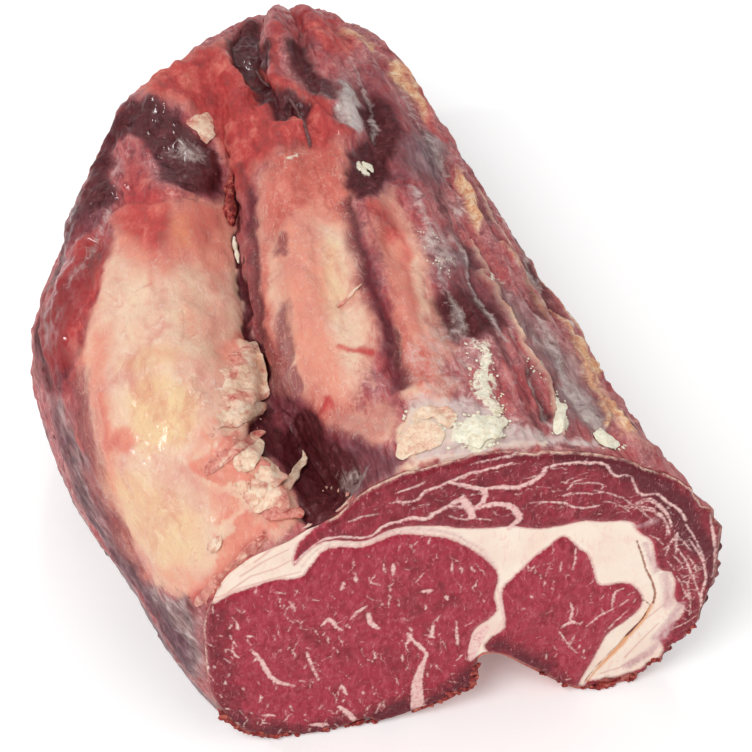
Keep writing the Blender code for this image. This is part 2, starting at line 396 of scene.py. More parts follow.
def mesh_piece(name, points, faces, material, fields, sharp=60):
    """An object from points and arrays of faces, turned outwards. A field has a value for each point."""
    points = in_frame(points)
    if signed_volume(points, faces) < 0:
        faces = [corners[:, ::-1] for corners in faces]
    sizes = np.concatenate([np.full(len(corners), corners.shape[1]) for corners in faces])
    loops = np.concatenate([corners.ravel() for corners in faces])
    mesh = bpy.data.meshes.new(name)
    mesh.vertices.add(len(points))
    mesh.vertices.foreach_set("co", points.astype(np.float32).ravel())
    mesh.loops.add(len(loops))
    mesh.loops.foreach_set("vertex_index", loops.astype(np.int32))
    mesh.polygons.add(len(sizes))
    mesh.polygons.foreach_set("loop_start", np.concatenate([[0], np.cumsum(sizes)[:-1]]).astype(np.int32))
    mesh.update(calc_edges=True)
    mesh.validate()
    for field, values in fields.items():
        attribute = mesh.attributes.new(field, "FLOAT", "POINT")
        attribute.data.foreach_set("value", np.asarray(values, np.float32).ravel())
    mesh.shade_smooth()
    mesh.set_sharp_from_angle(angle=math.radians(sharp))
    mesh.materials.append(material)
    piece = bpy.data.objects.new(name, mesh)
    bpy.context.scene.collection.objects.link(piece)
    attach(piece, "root")
    return piece


def grid_faces(rows, columns, wrap=False):
    """Quads of a grid whose points are numbered row by row. Wrapped, its last column joins the first."""
    row = np.arange(rows - 1)[:, None]
    column = np.arange(columns if wrap else columns - 1)[None, :]
    a = row * columns + column
    b = row * columns + (column + 1) % columns
    return np.stack([a, b, b + columns, a + columns], -1).reshape(-1, 4)


def grid_normals(points):
    """Unit normals of a grid: the cross product of its two directions. They point outwards on the skin, whose
    rows run into the roast and whose columns turn from x towards z."""
    down, across = np.gradient(points, axis=0), np.gradient(points, axis=1)
    normal = np.cross(down, across)
    return normal / (np.linalg.norm(normal, axis=-1, keepdims=True) + 1e-12)


# Finishes

class Finish:
    """One material's nodes, so that each layer of a finish is one call. Sizes are in millimetres."""

    def __init__(self, name, roughness=0.5, subsurface=0.0, coat=0.0):
        self.material = bpy.data.materials.new(name)
        self.material.use_nodes = True
        self.nodes = self.material.node_tree.nodes
        self.shader = self.nodes["Principled BSDF"]
        self.shader.inputs["Roughness"].default_value = roughness
        self.shader.inputs["Specular IOR Level"].default_value = 0.16
        self.shader.inputs["Subsurface Weight"].default_value = subsurface
        self.shader.inputs["Subsurface Radius"].default_value = (1.0, 0.35, 0.2)
        self.shader.inputs["Subsurface Scale"].default_value = 0.0025
        self.shader.inputs["Coat Weight"].default_value = coat
        self.shader.inputs["Coat Roughness"].default_value = 0.13
        self.place = self.nodes.new("ShaderNodeTexCoord").outputs["Object"]

    def put(self, value, socket):
        if isinstance(value, bpy.types.NodeSocket):
            self.material.node_tree.links.new(value, socket)
        elif isinstance(value, tuple) and len(value) == 3 and len(socket.default_value) == 4:
            socket.default_value = (*value, 1.0)
        else:
            socket.default_value = value

    def math(self, operation, a, b=0.0, c=0.0):
        node = self.nodes.new("ShaderNodeMath")
        node.operation = operation
        for value, socket in zip((a, b, c), node.inputs):
            self.put(value, socket)
        return node.outputs[0]

    def fit(self, value, low, high, to_low=0.0, to_high=1.0):
        """The value mapped from its range to another by a smooth step."""
        node = self.nodes.new("ShaderNodeMapRange")
        node.interpolation_type = "SMOOTHSTEP"
        for number, socket in zip((value, low, high, to_low, to_high), node.inputs):
            self.put(number, socket)
        return node.outputs["Result"]

    def mix(self, share, a, b, kind="MIX"):
        node = self.nodes.new("ShaderNodeMix")
        node.data_type = "RGBA"
        node.blend_type = kind
        colours = [socket for socket in node.inputs if socket.type == "RGBA"]
        self.put(share, node.inputs[0])
        self.put(a, colours[0])
        self.put(b, colours[1])
        return [socket for socket in node.outputs if socket.type == "RGBA"][0]

    def field(self, name):
        node = self.nodes.new("ShaderNodeAttribute")
        node.attribute_name = name
        return node.outputs["Fac"]

    def scaled_place(self, size, stretch):
        mapping = self.nodes.new("ShaderNodeMapping")
        mapping.inputs["Scale"].default_value = tuple(1 / (size * METRES * long) for long in stretch)
        self.put(self.place, mapping.inputs["Vector"])
        return mapping.outputs[0]

    def noise(self, size, detail=4.0, roughness=0.55, stretch=(1.0, 1.0, 1.0), warp=0.0):
        """Noise with features of this size, drawn out along an axis by a stretch above 1."""
        node = self.nodes.new("ShaderNodeTexNoise")
        self.put(self.scaled_place(size, stretch), node.inputs["Vector"])
        inputs = {"Scale": 1.0, "Detail": detail, "Roughness": roughness, "Distortion": warp}
        for name, value in inputs.items():
            node.inputs[name].default_value = value
        return node.outputs["Fac"]

    def threads(self, size, stretch=(1.0, 1.0, 1.0), width=0.02, warp=1.0):
        """Thin wandering lines: where noise is within this width of its middle value."""
        off = self.math("ABSOLUTE", self.math("SUBTRACT", self.noise(size, 3.0, 0.55, stretch, warp), 0.5))
        return self.fit(off, width, 0.0)

    def shades(self, value, *stops):
        """Colours at places along the value."""
        node = self.nodes.new("ShaderNodeValToRGB")
        elements = node.color_ramp.elements
        while len(elements) < len(stops):
            elements.new(0.5)
        for element, (at, colour) in zip(elements, stops):
            element.position = at
            element.color = (*colour, 1.0)
        self.put(value, node.inputs["Fac"])
        return node.outputs["Color"]

    def bump(self, height, distance, strength=1.0, under=None):
        node = self.nodes.new("ShaderNodeBump")
        node.inputs["Distance"].default_value = distance * METRES
        node.inputs["Strength"].default_value = strength
        self.put(height, node.inputs["Height"])
        if under is not None:
            self.put(under, node.inputs["Normal"])
        return node.outputs["Normal"]

    def done(self, colour, roughness, normal):
        self.put(colour, self.shader.inputs["Base Color"])
        self.put(roughness, self.shader.inputs["Roughness"])
        self.put(normal, self.shader.inputs["Normal"])
        return self.material


def skin_finish():
    """Dried skin: a purple pellicle, and over it membrane, pink film, fat, blood and mould by the fields."""
    s = Finish("aged_skin", subsurface=0.1, coat=0.1)
    blotch = s.noise(13, 6, 0.62, (1, 1.8, 1), 0.6)
    fibre = s.noise(3.0, 6, 0.62, (1, 5, 1), 0.5)
    grain = s.noise(0.9, 3, 0.6)
    speck = s.noise(3.6, 7, 0.7, (1, 1.3, 1), 0.9)
    web = s.threads(9, (1, 2.4, 1), 0.016, 1.6)
    fine_web = s.threads(5.5, (1, 3.2, 1), 0.016, 0.9)
    torn = s.math("MULTIPLY_ADD", fibre, 0.2, s.math("MULTIPLY", speck, 0.25))
    torn = s.math("MULTIPLY_ADD", blotch, 0.55, torn)

    dry = s.shades(
        fibre, (0.3, (0.14, 0.020, 0.028)), (0.5, (0.42, 0.080, 0.085)), (0.72, (0.62, 0.24, 0.22)),
    )
    purple = s.shades(
        speck, (0.3, (0.12, 0.034, 0.044)), (0.52, (0.45, 0.155, 0.16)), (0.70, (0.78, 0.49, 0.45)),
    )
    colour = s.mix(s.fit(blotch, 0.40, 0.60), dry, purple)
    colour = s.mix(s.math("MULTIPLY", web, 0.35), colour, (0.58, 0.40, 0.38))
    rough = s.fit(blotch, 0.3, 0.7, 0.42, 0.62)

    def layer(under, field, paint, edge=torn, spread=1.6, soft=0.22):
        weight = s.math("MULTIPLY_ADD", edge, spread, s.math("ADD", s.field(field), -0.5 * spread))
        share = s.fit(weight, 0.5 - soft, 0.5 + soft)
        return s.mix(share, under, paint), share

    grey = s.shades(
        fibre, (0.30, (0.10, 0.05, 0.053)), (0.5, (0.28, 0.175, 0.173)), (0.70, (0.56, 0.44, 0.42)),
    )
    colour, _ = layer(colour, "grey", grey, soft=0.4)
    pink = s.shades(
        torn, (0.38, (0.46, 0.11, 0.095)), (0.5, (0.62, 0.27, 0.205)), (0.64, (0.76, 0.46, 0.36)),
    )
    colour, on_pink = layer(colour, "pink", pink, soft=0.38)
    cream = s.shades(
        blotch, (0.34, (0.66, 0.31, 0.24)), (0.5, (0.75, 0.49, 0.35)), (0.64, (0.79, 0.61, 0.43)),
    )
    cream = s.mix(s.fit(speck, 0.50, 0.68, 0, 0.5), cream, (0.84, 0.67, 0.55))
    cream = s.mix(s.fit(fibre, 0.47, 0.30, 0, 0.55), cream, (0.72, 0.40, 0.31))
    cream = s.mix(s.field("tallow"), cream, (1.0, 1.0, 0.78), "MULTIPLY")
    colour, on_fat = layer(colour, "fat", cream, soft=0.42)
    flush = s.math("MULTIPLY_ADD", s.math("SUBTRACT", speck, 0.5), 1.0, s.field("blush"))
    flush = s.math("MULTIPLY_ADD", s.math("SUBTRACT", blotch, 0.5), 1.6, flush)
    colour = s.mix(s.fit(flush, 0.0, 0.95), colour, (0.93, 0.50, 0.50), "MULTIPLY")
    bruise = s.math("MULTIPLY_ADD", s.math("SUBTRACT", torn, 0.5), 1.8, s.field("stain"))
    colour = s.mix(s.fit(bruise, 0.15, 0.85), colour, (0.46, 0.30, 0.38), "MULTIPLY")
    pale = s.math("MAXIMUM", on_pink, on_fat)
    colour = s.mix(s.math("MULTIPLY", s.math("MULTIPLY", fine_web, pale), 0.22), colour, (0.88, 0.72, 0.62))
    # Darker salmon spots on the pale film and fat: painted shade of small pits, which have no relief of their
    # own.
    pit_shade = s.math("MULTIPLY", s.fit(s.noise(1.9, 5, 0.7, (1, 1.4, 1), 1.2), 0.46, 0.34), pale)
    colour = s.mix(s.math("MULTIPLY", pit_shade, 0.5), colour, (0.72, 0.36, 0.28))
    vein = s.math("MULTIPLY", s.threads(14, (1, 1.5, 1), 0.012, 2.0), s.fit(blotch, 0.48, 0.6))
    colour = s.mix(s.math("MULTIPLY", s.math("MULTIPLY", vein, pale), 0.45), colour, (0.60, 0.16, 0.12))
    yellow = s.shades(
        speck, (0.33, (0.50, 0.15, 0.08)), (0.48, (0.74, 0.40, 0.22)), (0.64, (0.84, 0.68, 0.47)),
    )
    colour, _ = layer(colour, "yellow", yellow, spread=2.0, soft=0.42)
    red = s.shades(
        torn, (0.36, (0.20, 0.012, 0.017)), (0.5, (0.47, 0.048, 0.048)), (0.64, (0.70, 0.20, 0.155)),
    )
    colour, _ = layer(colour, "red", red, soft=0.42)
    dark = s.shades(
        speck, (0.35, (0.045, 0.004, 0.006)), (0.56, (0.10, 0.013, 0.018)), (0.76, (0.22, 0.075, 0.08)),
    )
    colour, _ = layer(colour, "dark", dark, soft=0.32)
    # A pale veil over the colour: partly a real whitish film, and partly a painted highlight and sheen where
    # wet or glossy places would catch the light.
    frost_and_sheen = s.math("MULTIPLY_ADD", s.math("SUBTRACT", speck, 0.5), 1.5, s.field("frost_and_sheen"))
    colour = s.mix(s.fit(frost_and_sheen, 0.2, 1.0, 0, 0.8), colour, (0.66, 0.56, 0.52))
    mould = s.shades(grain, (0.3, (0.62, 0.52, 0.40)), (0.6, (0.85, 0.80, 0.65)))
    colour, on_mould = layer(colour, "mould", mould, edge=speck, soft=0.12)

    wet = s.math("MULTIPLY", s.field("wet"), s.fit(speck, 0.36, 0.5))
    rough = s.math("SUBTRACT", rough, s.math("MULTIPLY", wet, 0.26))
    rough = s.math("MAXIMUM", rough, s.math("MULTIPLY", on_mould, 0.9))
    s.put(s.math("MULTIPLY_ADD", wet, 0.6, 0.03), s.shader.inputs["Coat Weight"])
    creases = s.math("MULTIPLY", s.math("SUBTRACT", 1.15, on_fat), fibre)
    normal = s.bump(creases, 0.9, 0.7)
    normal = s.bump(s.math("MULTIPLY_ADD", fine_web, 0.12, speck), 0.8, 0.6, normal)
    normal = s.bump(grain, 0.22, 0.4, normal)
    return s.done(colour, rough, normal)


def face_finish():
    """The cut face: crimson muscle with a fine grain, white marbling, cream fat, skins between them."""
    s = Finish("cut_face", subsurface=0.1, coat=0.07)
    grain = s.noise(0.8, 3, 0.6)
    fleck = s.noise(1.6, 4, 0.65, warp=0.5)
    fibre = s.noise(2.2, 5, 0.6, (1.0, 1.0, 2.2), 0.8)
    blotch = s.noise(17, 4, 0.5)

    bright = s.shades(
        fibre, (0.3, (0.25, 0.012, 0.026)), (0.52, (0.36, 0.026, 0.050)), (0.75, (0.47, 0.075, 0.105)),
    )
    deep = s.shades(
        fibre, (0.3, (0.14, 0.006, 0.012)), (0.55, (0.24, 0.018, 0.032)), (0.8, (0.33, 0.06, 0.075)),
    )
    mottle = s.noise(6, 5, 0.62, (1, 1, 1.6), 0.8)
    depth = s.math("ADD", s.field("deep"), s.fit(blotch, 0.35, 0.7, -0.25, 0.35))
    depth = s.math("ADD", depth, s.fit(mottle, 0.36, 0.66, -0.3, 0.45))
    meat = s.mix(s.fit(depth, 0.0, 1.0), bright, deep)
    meat = s.mix(s.fit(depth, 1.0, 2.2, 0, 0.85), meat, (0.095, 0.006, 0.014))
    fine = s.math("MULTIPLY", s.fit(s.noise(1.25, 3, 0.7, (1, 1, 2.6), 1.2), 0.58, 0.68), 0.5)
    meat = s.mix(fine, meat, (0.60, 0.23, 0.25))

    fat = s.shades(blotch, (0.3, (0.84, 0.64, 0.53)), (0.6, (0.90, 0.76, 0.64)))
    fat = s.mix(s.math("MULTIPLY", s.fit(fibre, 0.52, 0.70), 0.5), fat, (0.82, 0.53, 0.45))
    fat = s.mix(s.math("MULTIPLY", s.field("fat_lines"), 0.6), fat, (0.66, 0.33, 0.26))
    tissue = s.math("MULTIPLY_ADD", s.math("SUBTRACT", fleck, 0.5), 1.7, s.field("muscle"))
    on_meat = s.fit(tissue, -0.4, 0.4)
    edge_line = s.math("MULTIPLY", s.fit(tissue, -1.1, -0.4), s.fit(tissue, 0.5, -0.3))
    colour = s.mix(on_meat, s.mix(s.math("MULTIPLY", edge_line, 0.5), fat, (0.62, 0.27, 0.26)), meat)

    edge = s.math("MULTIPLY_ADD", s.math("SUBTRACT", fleck, 0.5), 1.7, s.field("marbling"))
    on_marbling = s.fit(edge, -0.4, 0.4)
    white = s.shades(fleck, (0.32, (0.68, 0.27, 0.28)), (0.54, (0.85, 0.58, 0.53)))
    colour = s.mix(s.math("MULTIPLY", on_marbling, 0.92), colour, white)
    skin = s.math("MULTIPLY_ADD", s.math("SUBTRACT", fleck, 0.5), 3.0, s.field("membrane"))
    lilac = s.shades(
        fibre, (0.35, (0.46, 0.19, 0.22)), (0.52, (0.64, 0.38, 0.39)), (0.7, (0.78, 0.60, 0.57)),
    )
    colour = s.mix(s.fit(skin, -0.8, 1.8, 0, 0.7), colour, lilac)
    split = s.math("MULTIPLY_ADD", s.math("SUBTRACT", fleck, 0.5), 1.4, s.field("split"))
    colour = s.mix(s.fit(split, -0.5, 0.9, 0, 0.95), colour, (0.72, 0.34, 0.165))
    crack = s.math("MULTIPLY_ADD", s.math("SUBTRACT", fleck, 0.5), 1.1, s.field("crack"))
    colour = s.mix(s.fit(crack, -0.3, 0.15, 0, 0.9), colour, (0.30, 0.085, 0.04))
    rim = s.math("MULTIPLY_ADD", s.math("SUBTRACT", fleck, 0.5), 2.0, s.field("rim"))
    crust = s.shades(
        fleck, (0.36, (0.06, 0.006, 0.010)), (0.5, (0.19, 0.018, 0.024)), (0.66, (0.60, 0.24, 0.16)),
    )
    pale_rim = s.shades(fleck, (0.35, (0.56, 0.22, 0.19)), (0.55, (0.82, 0.60, 0.48)))
    low_crust = s.math("MULTIPLY", s.fit(rim, 0.6, 3.4, 0.9, 0), s.field("low_rim"))
    colour = s.mix(low_crust, colour, crust)
    at_rim = s.math("MULTIPLY", s.fit(rim, 0.15, 0.8, 0.85, 0), s.fit(mottle, 0.38, 0.56, 0.2, 1.0))
    colour = s.mix(at_rim, colour, s.mix(s.field("low_rim"), pale_rim, crust))

    rough = s.fit(grain, 0.3, 0.7, 0.30, 0.48)
    height = s.math("MULTIPLY_ADD", on_marbling, 0.35, fibre)
    normal = s.bump(height, 0.5, 0.5)
    normal = s.bump(grain, 0.2, 0.5, normal)
    return s.done(colour, rough, normal)


def torn_fat_finish(name, warm):
    """Peeled fat and film: waxy cream, pink where it is thin or has bled, by a warmth field and noise."""
    s = Finish(name, subsurface=0.2, coat=0.1)
    speck = s.noise(2.8, 6, 0.68, warp=0.9)
    blotch = s.noise(8, 4, 0.6)
    grain = s.noise(0.7, 3, 0.6)
    cream = s.shades(
        speck, (0.32, (0.62, 0.32, 0.21)), (0.5, (0.80, 0.56, 0.41)), (0.68, (0.87, 0.72, 0.56)),
    )
    pink = s.shades(speck, (0.32, (0.42, 0.06, 0.05)), (0.6, (0.72, 0.32, 0.25)))
    warmth = s.math("ADD", s.field("warmth"), s.fit(blotch, 0.3, 0.7, -0.5 + warm, 0.4 + warm))
    colour = s.mix(s.fit(warmth, 0.1, 0.9), cream, pink)
    cracks = s.math("MULTIPLY", s.threads(6, width=0.02, warp=1.6), s.fit(blotch, 0.42, 0.6))
    colour = s.mix(s.math("MULTIPLY", cracks, 0.6), colour, (0.50, 0.20, 0.12))
    normal = s.bump(speck, 0.6, 0.7)
    normal = s.bump(grain, 0.2, 0.5, normal)
    return s.done(colour, s.fit(speck, 0.3, 0.7, 0.36, 0.54), normal)


def scrap_finish(name, *stops):
    """Small scraps: a ramp of colours by fine noise, rough and dry."""
    s = Finish(name, subsurface=0.1, coat=0.05)
    speck = s.noise(2.0, 6, 0.7, warp=0.6)
    grain = s.noise(0.6, 3, 0.6)
    normal = s.bump(speck, 0.5, 0.7)
    return s.done(s.shades(speck, *stops), s.fit(grain, 0.3, 0.7, 0.4, 0.75), s.bump(grain, 0.2, 0.5, normal))


SKIN = skin_finish()
FACE = face_finish()
TORN_FAT = torn_fat_finish("torn_fat", 0.0)
BLED_FAT = torn_fat_finish("bled_fat", 0.55)
DRY_FLESH = scrap_finish(
    "dry_flesh", (0.36, (0.08, 0.008, 0.010)), (0.5, (0.30, 0.030, 0.030)), (0.66, (0.60, 0.20, 0.14)),
)
CRUMB = scrap_finish(
    "mould_crumb", (0.3, (0.66, 0.54, 0.38)), (0.55, (0.86, 0.80, 0.64)), (0.75, (0.90, 0.88, 0.78)),
)
SINEW = scrap_finish("sinew", (0.3, (0.05, 0.018, 0.02)), (0.6, (0.20, 0.09, 0.09)))


# The skin: what shows where, as places in the photograph. Each entry is a tissue, a softness in pixels, a
# strength and an outline; a line has its two half widths in pixels before its points.

SKIN_PATCH_PIXELS = (
    ("fat", 12, 1.1, ((118, 236), (106, 262), (98, 295), (85, 335), (78, 372), (84, 415), (92, 455),
        (98, 484), (110, 516), (126, 545), (143, 568), (160, 584), (182, 594), (198, 598), (216, 586),
        (244, 556), (270, 534), (292, 520), (300, 508), (288, 492), (270, 470), (264, 448), (254, 425),
        (266, 402), (266, 370), (258, 346), (247, 334), (241, 300), (238, 262), (236, 236), (222, 232),
        (205, 240), (185, 248), (168, 256), (150, 256), (136, 240))),
    ("fat", 12, 0.9, ((122, 262), (118, 226), (134, 200), (160, 204), (190, 206), (228, 204), (236, 236),
        (222, 272))),
    ("blush", 20, 0.95, ((112, 262), (118, 206), (150, 196), (190, 200), (236, 206), (240, 260), (222, 286),
        (190, 268), (160, 276), (136, 268))),
    ("blush", 14, 0.6, ((206, 350), (236, 330), (262, 345), (268, 400), (250, 430), (216, 440), (190, 470),
        (200, 430), (222, 400), (204, 376))),
    ("blush", 12, 0.6, ((196, 470), (262, 446), (290, 500), (300, 520), (262, 536), (230, 560),
        (212, 520))),
    ("blush", 14, 0.5, ((134, 548), (160, 560), (196, 572), (240, 540), (262, 536), (214, 590),
        (180, 600))),
    ("pink", 12, 1.05, ((280, 157), (264, 175), (254, 205), (250, 245), (252, 280), (257, 310), (262, 345),
        (270, 385), (284, 394), (304, 390), (314, 410), (330, 428), (352, 440), (358, 410), (366, 376),
        (378, 350), (372, 325), (366, 300), (364, 280), (362, 250), (358, 215), (354, 180), (346, 150),
        (330, 135), (310, 140))),
    ("fat", 16, 0.95, ((290, 210), (276, 250), (272, 300), (278, 345), (300, 385), (330, 405), (350, 400),
        (362, 362), (360, 320), (350, 270), (346, 225), (322, 200))),
    ("blush", 12, 0.8, ((262, 250), (262, 320), (270, 360), (282, 360), (272, 300), (272, 250))),
    ("blush", 18, 0.95, ((280, 158), (262, 200), (268, 240), (300, 226), (346, 230), (352, 190), (344, 152),
        (318, 142))),
    ("blush", 12, 0.5, ((300, 300), (330, 310), (340, 350), (320, 372), (296, 350))),
    ("pink", 10, 1.0, ((375, 200), (370, 225), (380, 262), (388, 300), (390, 335), (398, 362), (415, 378),
        (440, 368), (455, 348), (446, 322), (432, 292), (420, 255), (408, 218), (398, 190))),
    ("fat", 12, 0.95, ((386, 240), (390, 280), (398, 315), (416, 345), (432, 340), (428, 305), (414, 260),
        (402, 236))),
    ("pink", 10, 0.95, ((405, 368), (400, 400), (420, 404), (450, 404), (460, 384), (442, 362))),
    ("fat", 8, 0.7, ((404, 384), (402, 404), (430, 408), (452, 400), (440, 384))),
    ("pink", 10, 0.8, ((330, 420), (346, 440), (372, 446), (396, 440), (404, 420), (388, 400), (362, 400))),
    ("pink", 12, 1.0, ((212, 46), (185, 58), (160, 75), (140, 92), (150, 102), (175, 105), (200, 118),
        (215, 140), (228, 170), (245, 200), (262, 168), (285, 152), (318, 155), (348, 142), (330, 110),
        (285, 86), (250, 50), (232, 36))),
    ("red", 14, 0.82, ((212, 46), (185, 58), (160, 75), (140, 92), (150, 102), (175, 105), (200, 118),
        (215, 140), (228, 170), (236, 190), (245, 200), (262, 168), (285, 152), (318, 155), (335, 152),
        (348, 142), (342, 124), (318, 106), (300, 98), (285, 86), (268, 64), (250, 50), (232, 36))),
    ("blush", 12, 1.0, ((200, 52), (160, 80), (210, 120), (240, 180), (262, 160), (255, 90), (236, 66))),
    ("pink", 9, 0.95, ((196, 50), (176, 66), (196, 80), (222, 92), (232, 116), (252, 126), (258, 104),
        (240, 76), (220, 58))),
    ("stain", 12, 0.95, ((97, 229), (62, 262), (36, 300), (34, 330), (60, 350), (88, 300), (104, 260))),
    ("red", 12, 0.92, ((97, 229), (78, 245), (62, 262), (42, 282), (34, 300), (34, 330), (42, 370),
        (54, 398), (66, 370), (80, 335), (92, 305), (104, 272), (114, 240))),
    ("stain", 12, 0.75, ((36, 300), (34, 340), (44, 380), (60, 410), (70, 380), (66, 340), (52, 316))),
    ("red", 14, 0.78, ((123, 178), (116, 225), (130, 246), (150, 256), (168, 246), (176, 226), (168, 200),
        (154, 176), (138, 160))),
    ("red", 10, 0.5, ((180, 214), (196, 206), (222, 208), (230, 232), (212, 250), (196, 262), (184, 246))),
    ("stain", 9, 0.9, ((128, 106), (112, 130), (98, 158), (86, 190), (74, 218), (60, 250), (78, 246),
        (98, 228), (114, 210), (122, 194), (113, 172), (115, 150), (134, 140), (158, 156), (164, 182),
        (192, 196), (230, 202), (230, 180), (212, 150), (194, 126), (170, 104), (150, 95))),
    ("dark", 9, 0.78, ((128, 106), (112, 130), (98, 158), (86, 190), (76, 216), (90, 214), (108, 206),
        (120, 192), (112, 172), (114, 150), (134, 138), (158, 152), (166, 178), (192, 192), (228, 196),
        (226, 180), (210, 150), (192, 128), (170, 108), (150, 99))),
    ("dark", 7, 1.1, ((268, 402), (253, 424), (262, 444), (272, 456), (281, 468), (289, 488), (299, 512),
        (308, 530), (322, 524), (334, 512), (345, 500), (354, 484), (362, 468), (348, 452), (336, 444),
        (325, 428), (316, 408), (304, 402), (296, 420), (286, 440), (274, 428))),
    ("stain", 10, 0.9, ((272, 366), (262, 400), (262, 444), (288, 492), (310, 532), (346, 500), (400, 470),
        (404, 452), (370, 440), (330, 420), (310, 396), (296, 372))),
    ("grey", 14, 0.62, ((316, 440), (330, 500), (350, 500), (400, 474), (408, 452), (372, 440))),
    ("dark", 10, 1.1, ((236, 22), (228, 40), (244, 66), (262, 80), (274, 62), (270, 42), (262, 22),
        (250, 14))),
    ("dark", 9, 1.1, ((247, 84), (262, 101), (285, 117), (308, 128), (312, 114), (290, 98), (270, 84),
        (255, 75))),
    ("dark", 10, 0.86, ((282, 42), (298, 36), (310, 44), (318, 62), (338, 88), (340, 104), (328, 108),
        (308, 92), (292, 70))),
    ("dark", 12, 1.0, ((350, 150), (372, 140), (392, 150), (394, 178), (382, 190), (362, 196), (347, 184))),
    ("dark", 12, 0.95, ((356, 88), (378, 90), (395, 108), (402, 132), (398, 158), (384, 150), (368, 132),
        (360, 110))),
    ("stain", 18, 0.6, ((352, 70), (380, 60), (410, 90), (440, 150), (460, 180), (440, 200), (400, 200),
        (352, 200), (346, 150))),
    ("stain", 16, 0.64, ((424, 250), (440, 320), (470, 345), (512, 330), (506, 290), (470, 240))),
    ("dark", 14, 0.85, ((430, 300), (440, 330), (456, 345), (474, 342), (492, 330), (498, 306), (484, 286),
        (462, 282))),
    ("stain", 16, 0.45, ((510, 340), (530, 380), (556, 440), (610, 446), (600, 400), (560, 350))),
    ("red", 12, 0.7, ((276, 14), (296, 4), (320, 8), (345, 22), (362, 46), (352, 60), (332, 52), (318, 40),
        (292, 34), (276, 40), (268, 28))),
    ("stain", 10, 0.6, ((276, 8), (300, 0), (330, 12), (356, 40), (340, 60), (300, 40), (276, 40))),
    # This grey patch and the pale frost patch over it are a painted sheen on the far bundle, not grey tissue.
    ("grey", 10, 1.0, ((335, 78), (350, 82), (358, 100), (363, 128), (354, 138), (342, 130), (337, 104))),
    ("frost_and_sheen", 8, 0.85, ((338, 80), (350, 84), (357, 102), (362, 128), (354, 137), (344, 130), (340, 104))),
    ("frost_and_sheen", 10, 0.5, ((332, 470), (346, 458), (372, 462), (366, 486), (348, 500), (334, 492))),
    ("frost_and_sheen", 12, 0.55, ((412, 224), (440, 232), (460, 262), (448, 280), (426, 262))),
    ("frost_and_sheen", 10, 0.45, ((404, 330), (460, 318), (480, 350), (466, 396), (440, 404), (410, 380))),
    ("frost_and_sheen", 10, 0.85, ((410, 402), (470, 390), (520, 420), (560, 440), (600, 436), (620, 450), (500, 452),
        (410, 462))),
    # Painted sheen: a greyish-white highlight on the dark lump.
    ("frost_and_sheen", 8, 0.6, ((174, 138), (196, 150), (204, 168), (186, 166), (172, 154))),
    ("dark", 7, 0.66, ((510, 214), (526, 230), (544, 262), (560, 296), (570, 324), (558, 320), (542, 294),
        (526, 264), (510, 238))),
    ("red", 4, 0.95, ((322, 506), (336, 494), (352, 486), (352, 496), (338, 508), (326, 520))),
    ("blush", 14, 0.7, ((92, 330), (84, 400), (100, 470), (122, 524), (122, 440), (112, 380), (116, 330))),
    ("blush", 14, 0.5, ((196, 300), (222, 300), (236, 330), (214, 352), (190, 336))),
    ("tallow", 10, 0.9, ((130, 400), (150, 382), (190, 388), (198, 420), (182, 450), (150, 452),
        (134, 430))),
    ("tallow", 9, 0.7, ((126, 370), (150, 350), (178, 352), (172, 372), (140, 382))),
    ("tallow", 14, 0.7, ((106, 470), (150, 476), (196, 520), (204, 560), (172, 574), (130, 530))),
    ("tallow", 8, 0.8, ((168, 222), (186, 220), (196, 240), (182, 252), (168, 240))),
    ("tallow", 12, 0.6, ((320, 240), (340, 250), (350, 300), (336, 320), (318, 290))),
    ("grey", 12, 0.84, ((46, 398), (60, 420), (66, 455), (74, 480), (82, 510), (96, 540), (116, 566),
        (136, 592), (156, 622), (170, 656), (186, 690), (200, 718), (205, 640), (198, 598), (172, 594),
        (150, 582), (128, 556), (110, 524), (98, 490), (90, 456), (82, 428), (70, 402), (58, 384))),
    ("stain", 12, 0.85, ((52, 400), (70, 470), (100, 545), (150, 620), (190, 700), (200, 690), (190, 640),
        (150, 590), (110, 540), (86, 480), (66, 420))),
    ("grey", 16, 0.8, ((500, 285), (520, 300), (545, 330), (570, 355), (590, 385), (612, 422), (600, 440),
        (575, 425), (560, 400), (540, 360), (522, 335), (508, 310))),
    ("grey", 14, 0.8, ((404, 138), (430, 128), (446, 144), (450, 176), (436, 190), (416, 176), (408, 158))),
    ("grey", 18, 0.5, ((420, 210), (450, 220), (480, 260), (500, 320), (480, 330), (450, 300), (430, 260))),
    ("pink", 12, 0.6, ((592, 372), (610, 398), (640, 430), (660, 452), (640, 452), (616, 430), (600, 404))),
    ("yellow", 6, 1.0, ((456, 176), (466, 178), (478, 195), (486, 216), (480, 228), (472, 215),
        (462, 195))),
    ("yellow", 6, 0.9, ((390, 58), (402, 62), (416, 78), (426, 98), (430, 114), (418, 106), (404, 88),
        (392, 72))),
    ("fat", 6, 1.1, ((400, 452), (400, 428), (416, 412), (440, 408), (458, 424), (458, 442), (430, 450),
        (412, 460))),
    ("mould", 5, 0.95, ((454, 441), (458, 424), (473, 415), (500, 413), (505, 425), (498, 440),
        (480, 446))),
    ("mould", 6, 0.8, ((553, 390), (564, 402), (567, 420), (561, 436), (553, 430), (556, 410))),
    ("mould", 6, 0.8, ((594, 432), (604, 430), (620, 442), (612, 448), (598, 442))),
    ("mould", 9, 0.66, ((468, 342), (486, 346), (494, 372), (500, 396), (512, 418), (500, 420), (484, 400),
        (470, 384), (476, 362))),
)

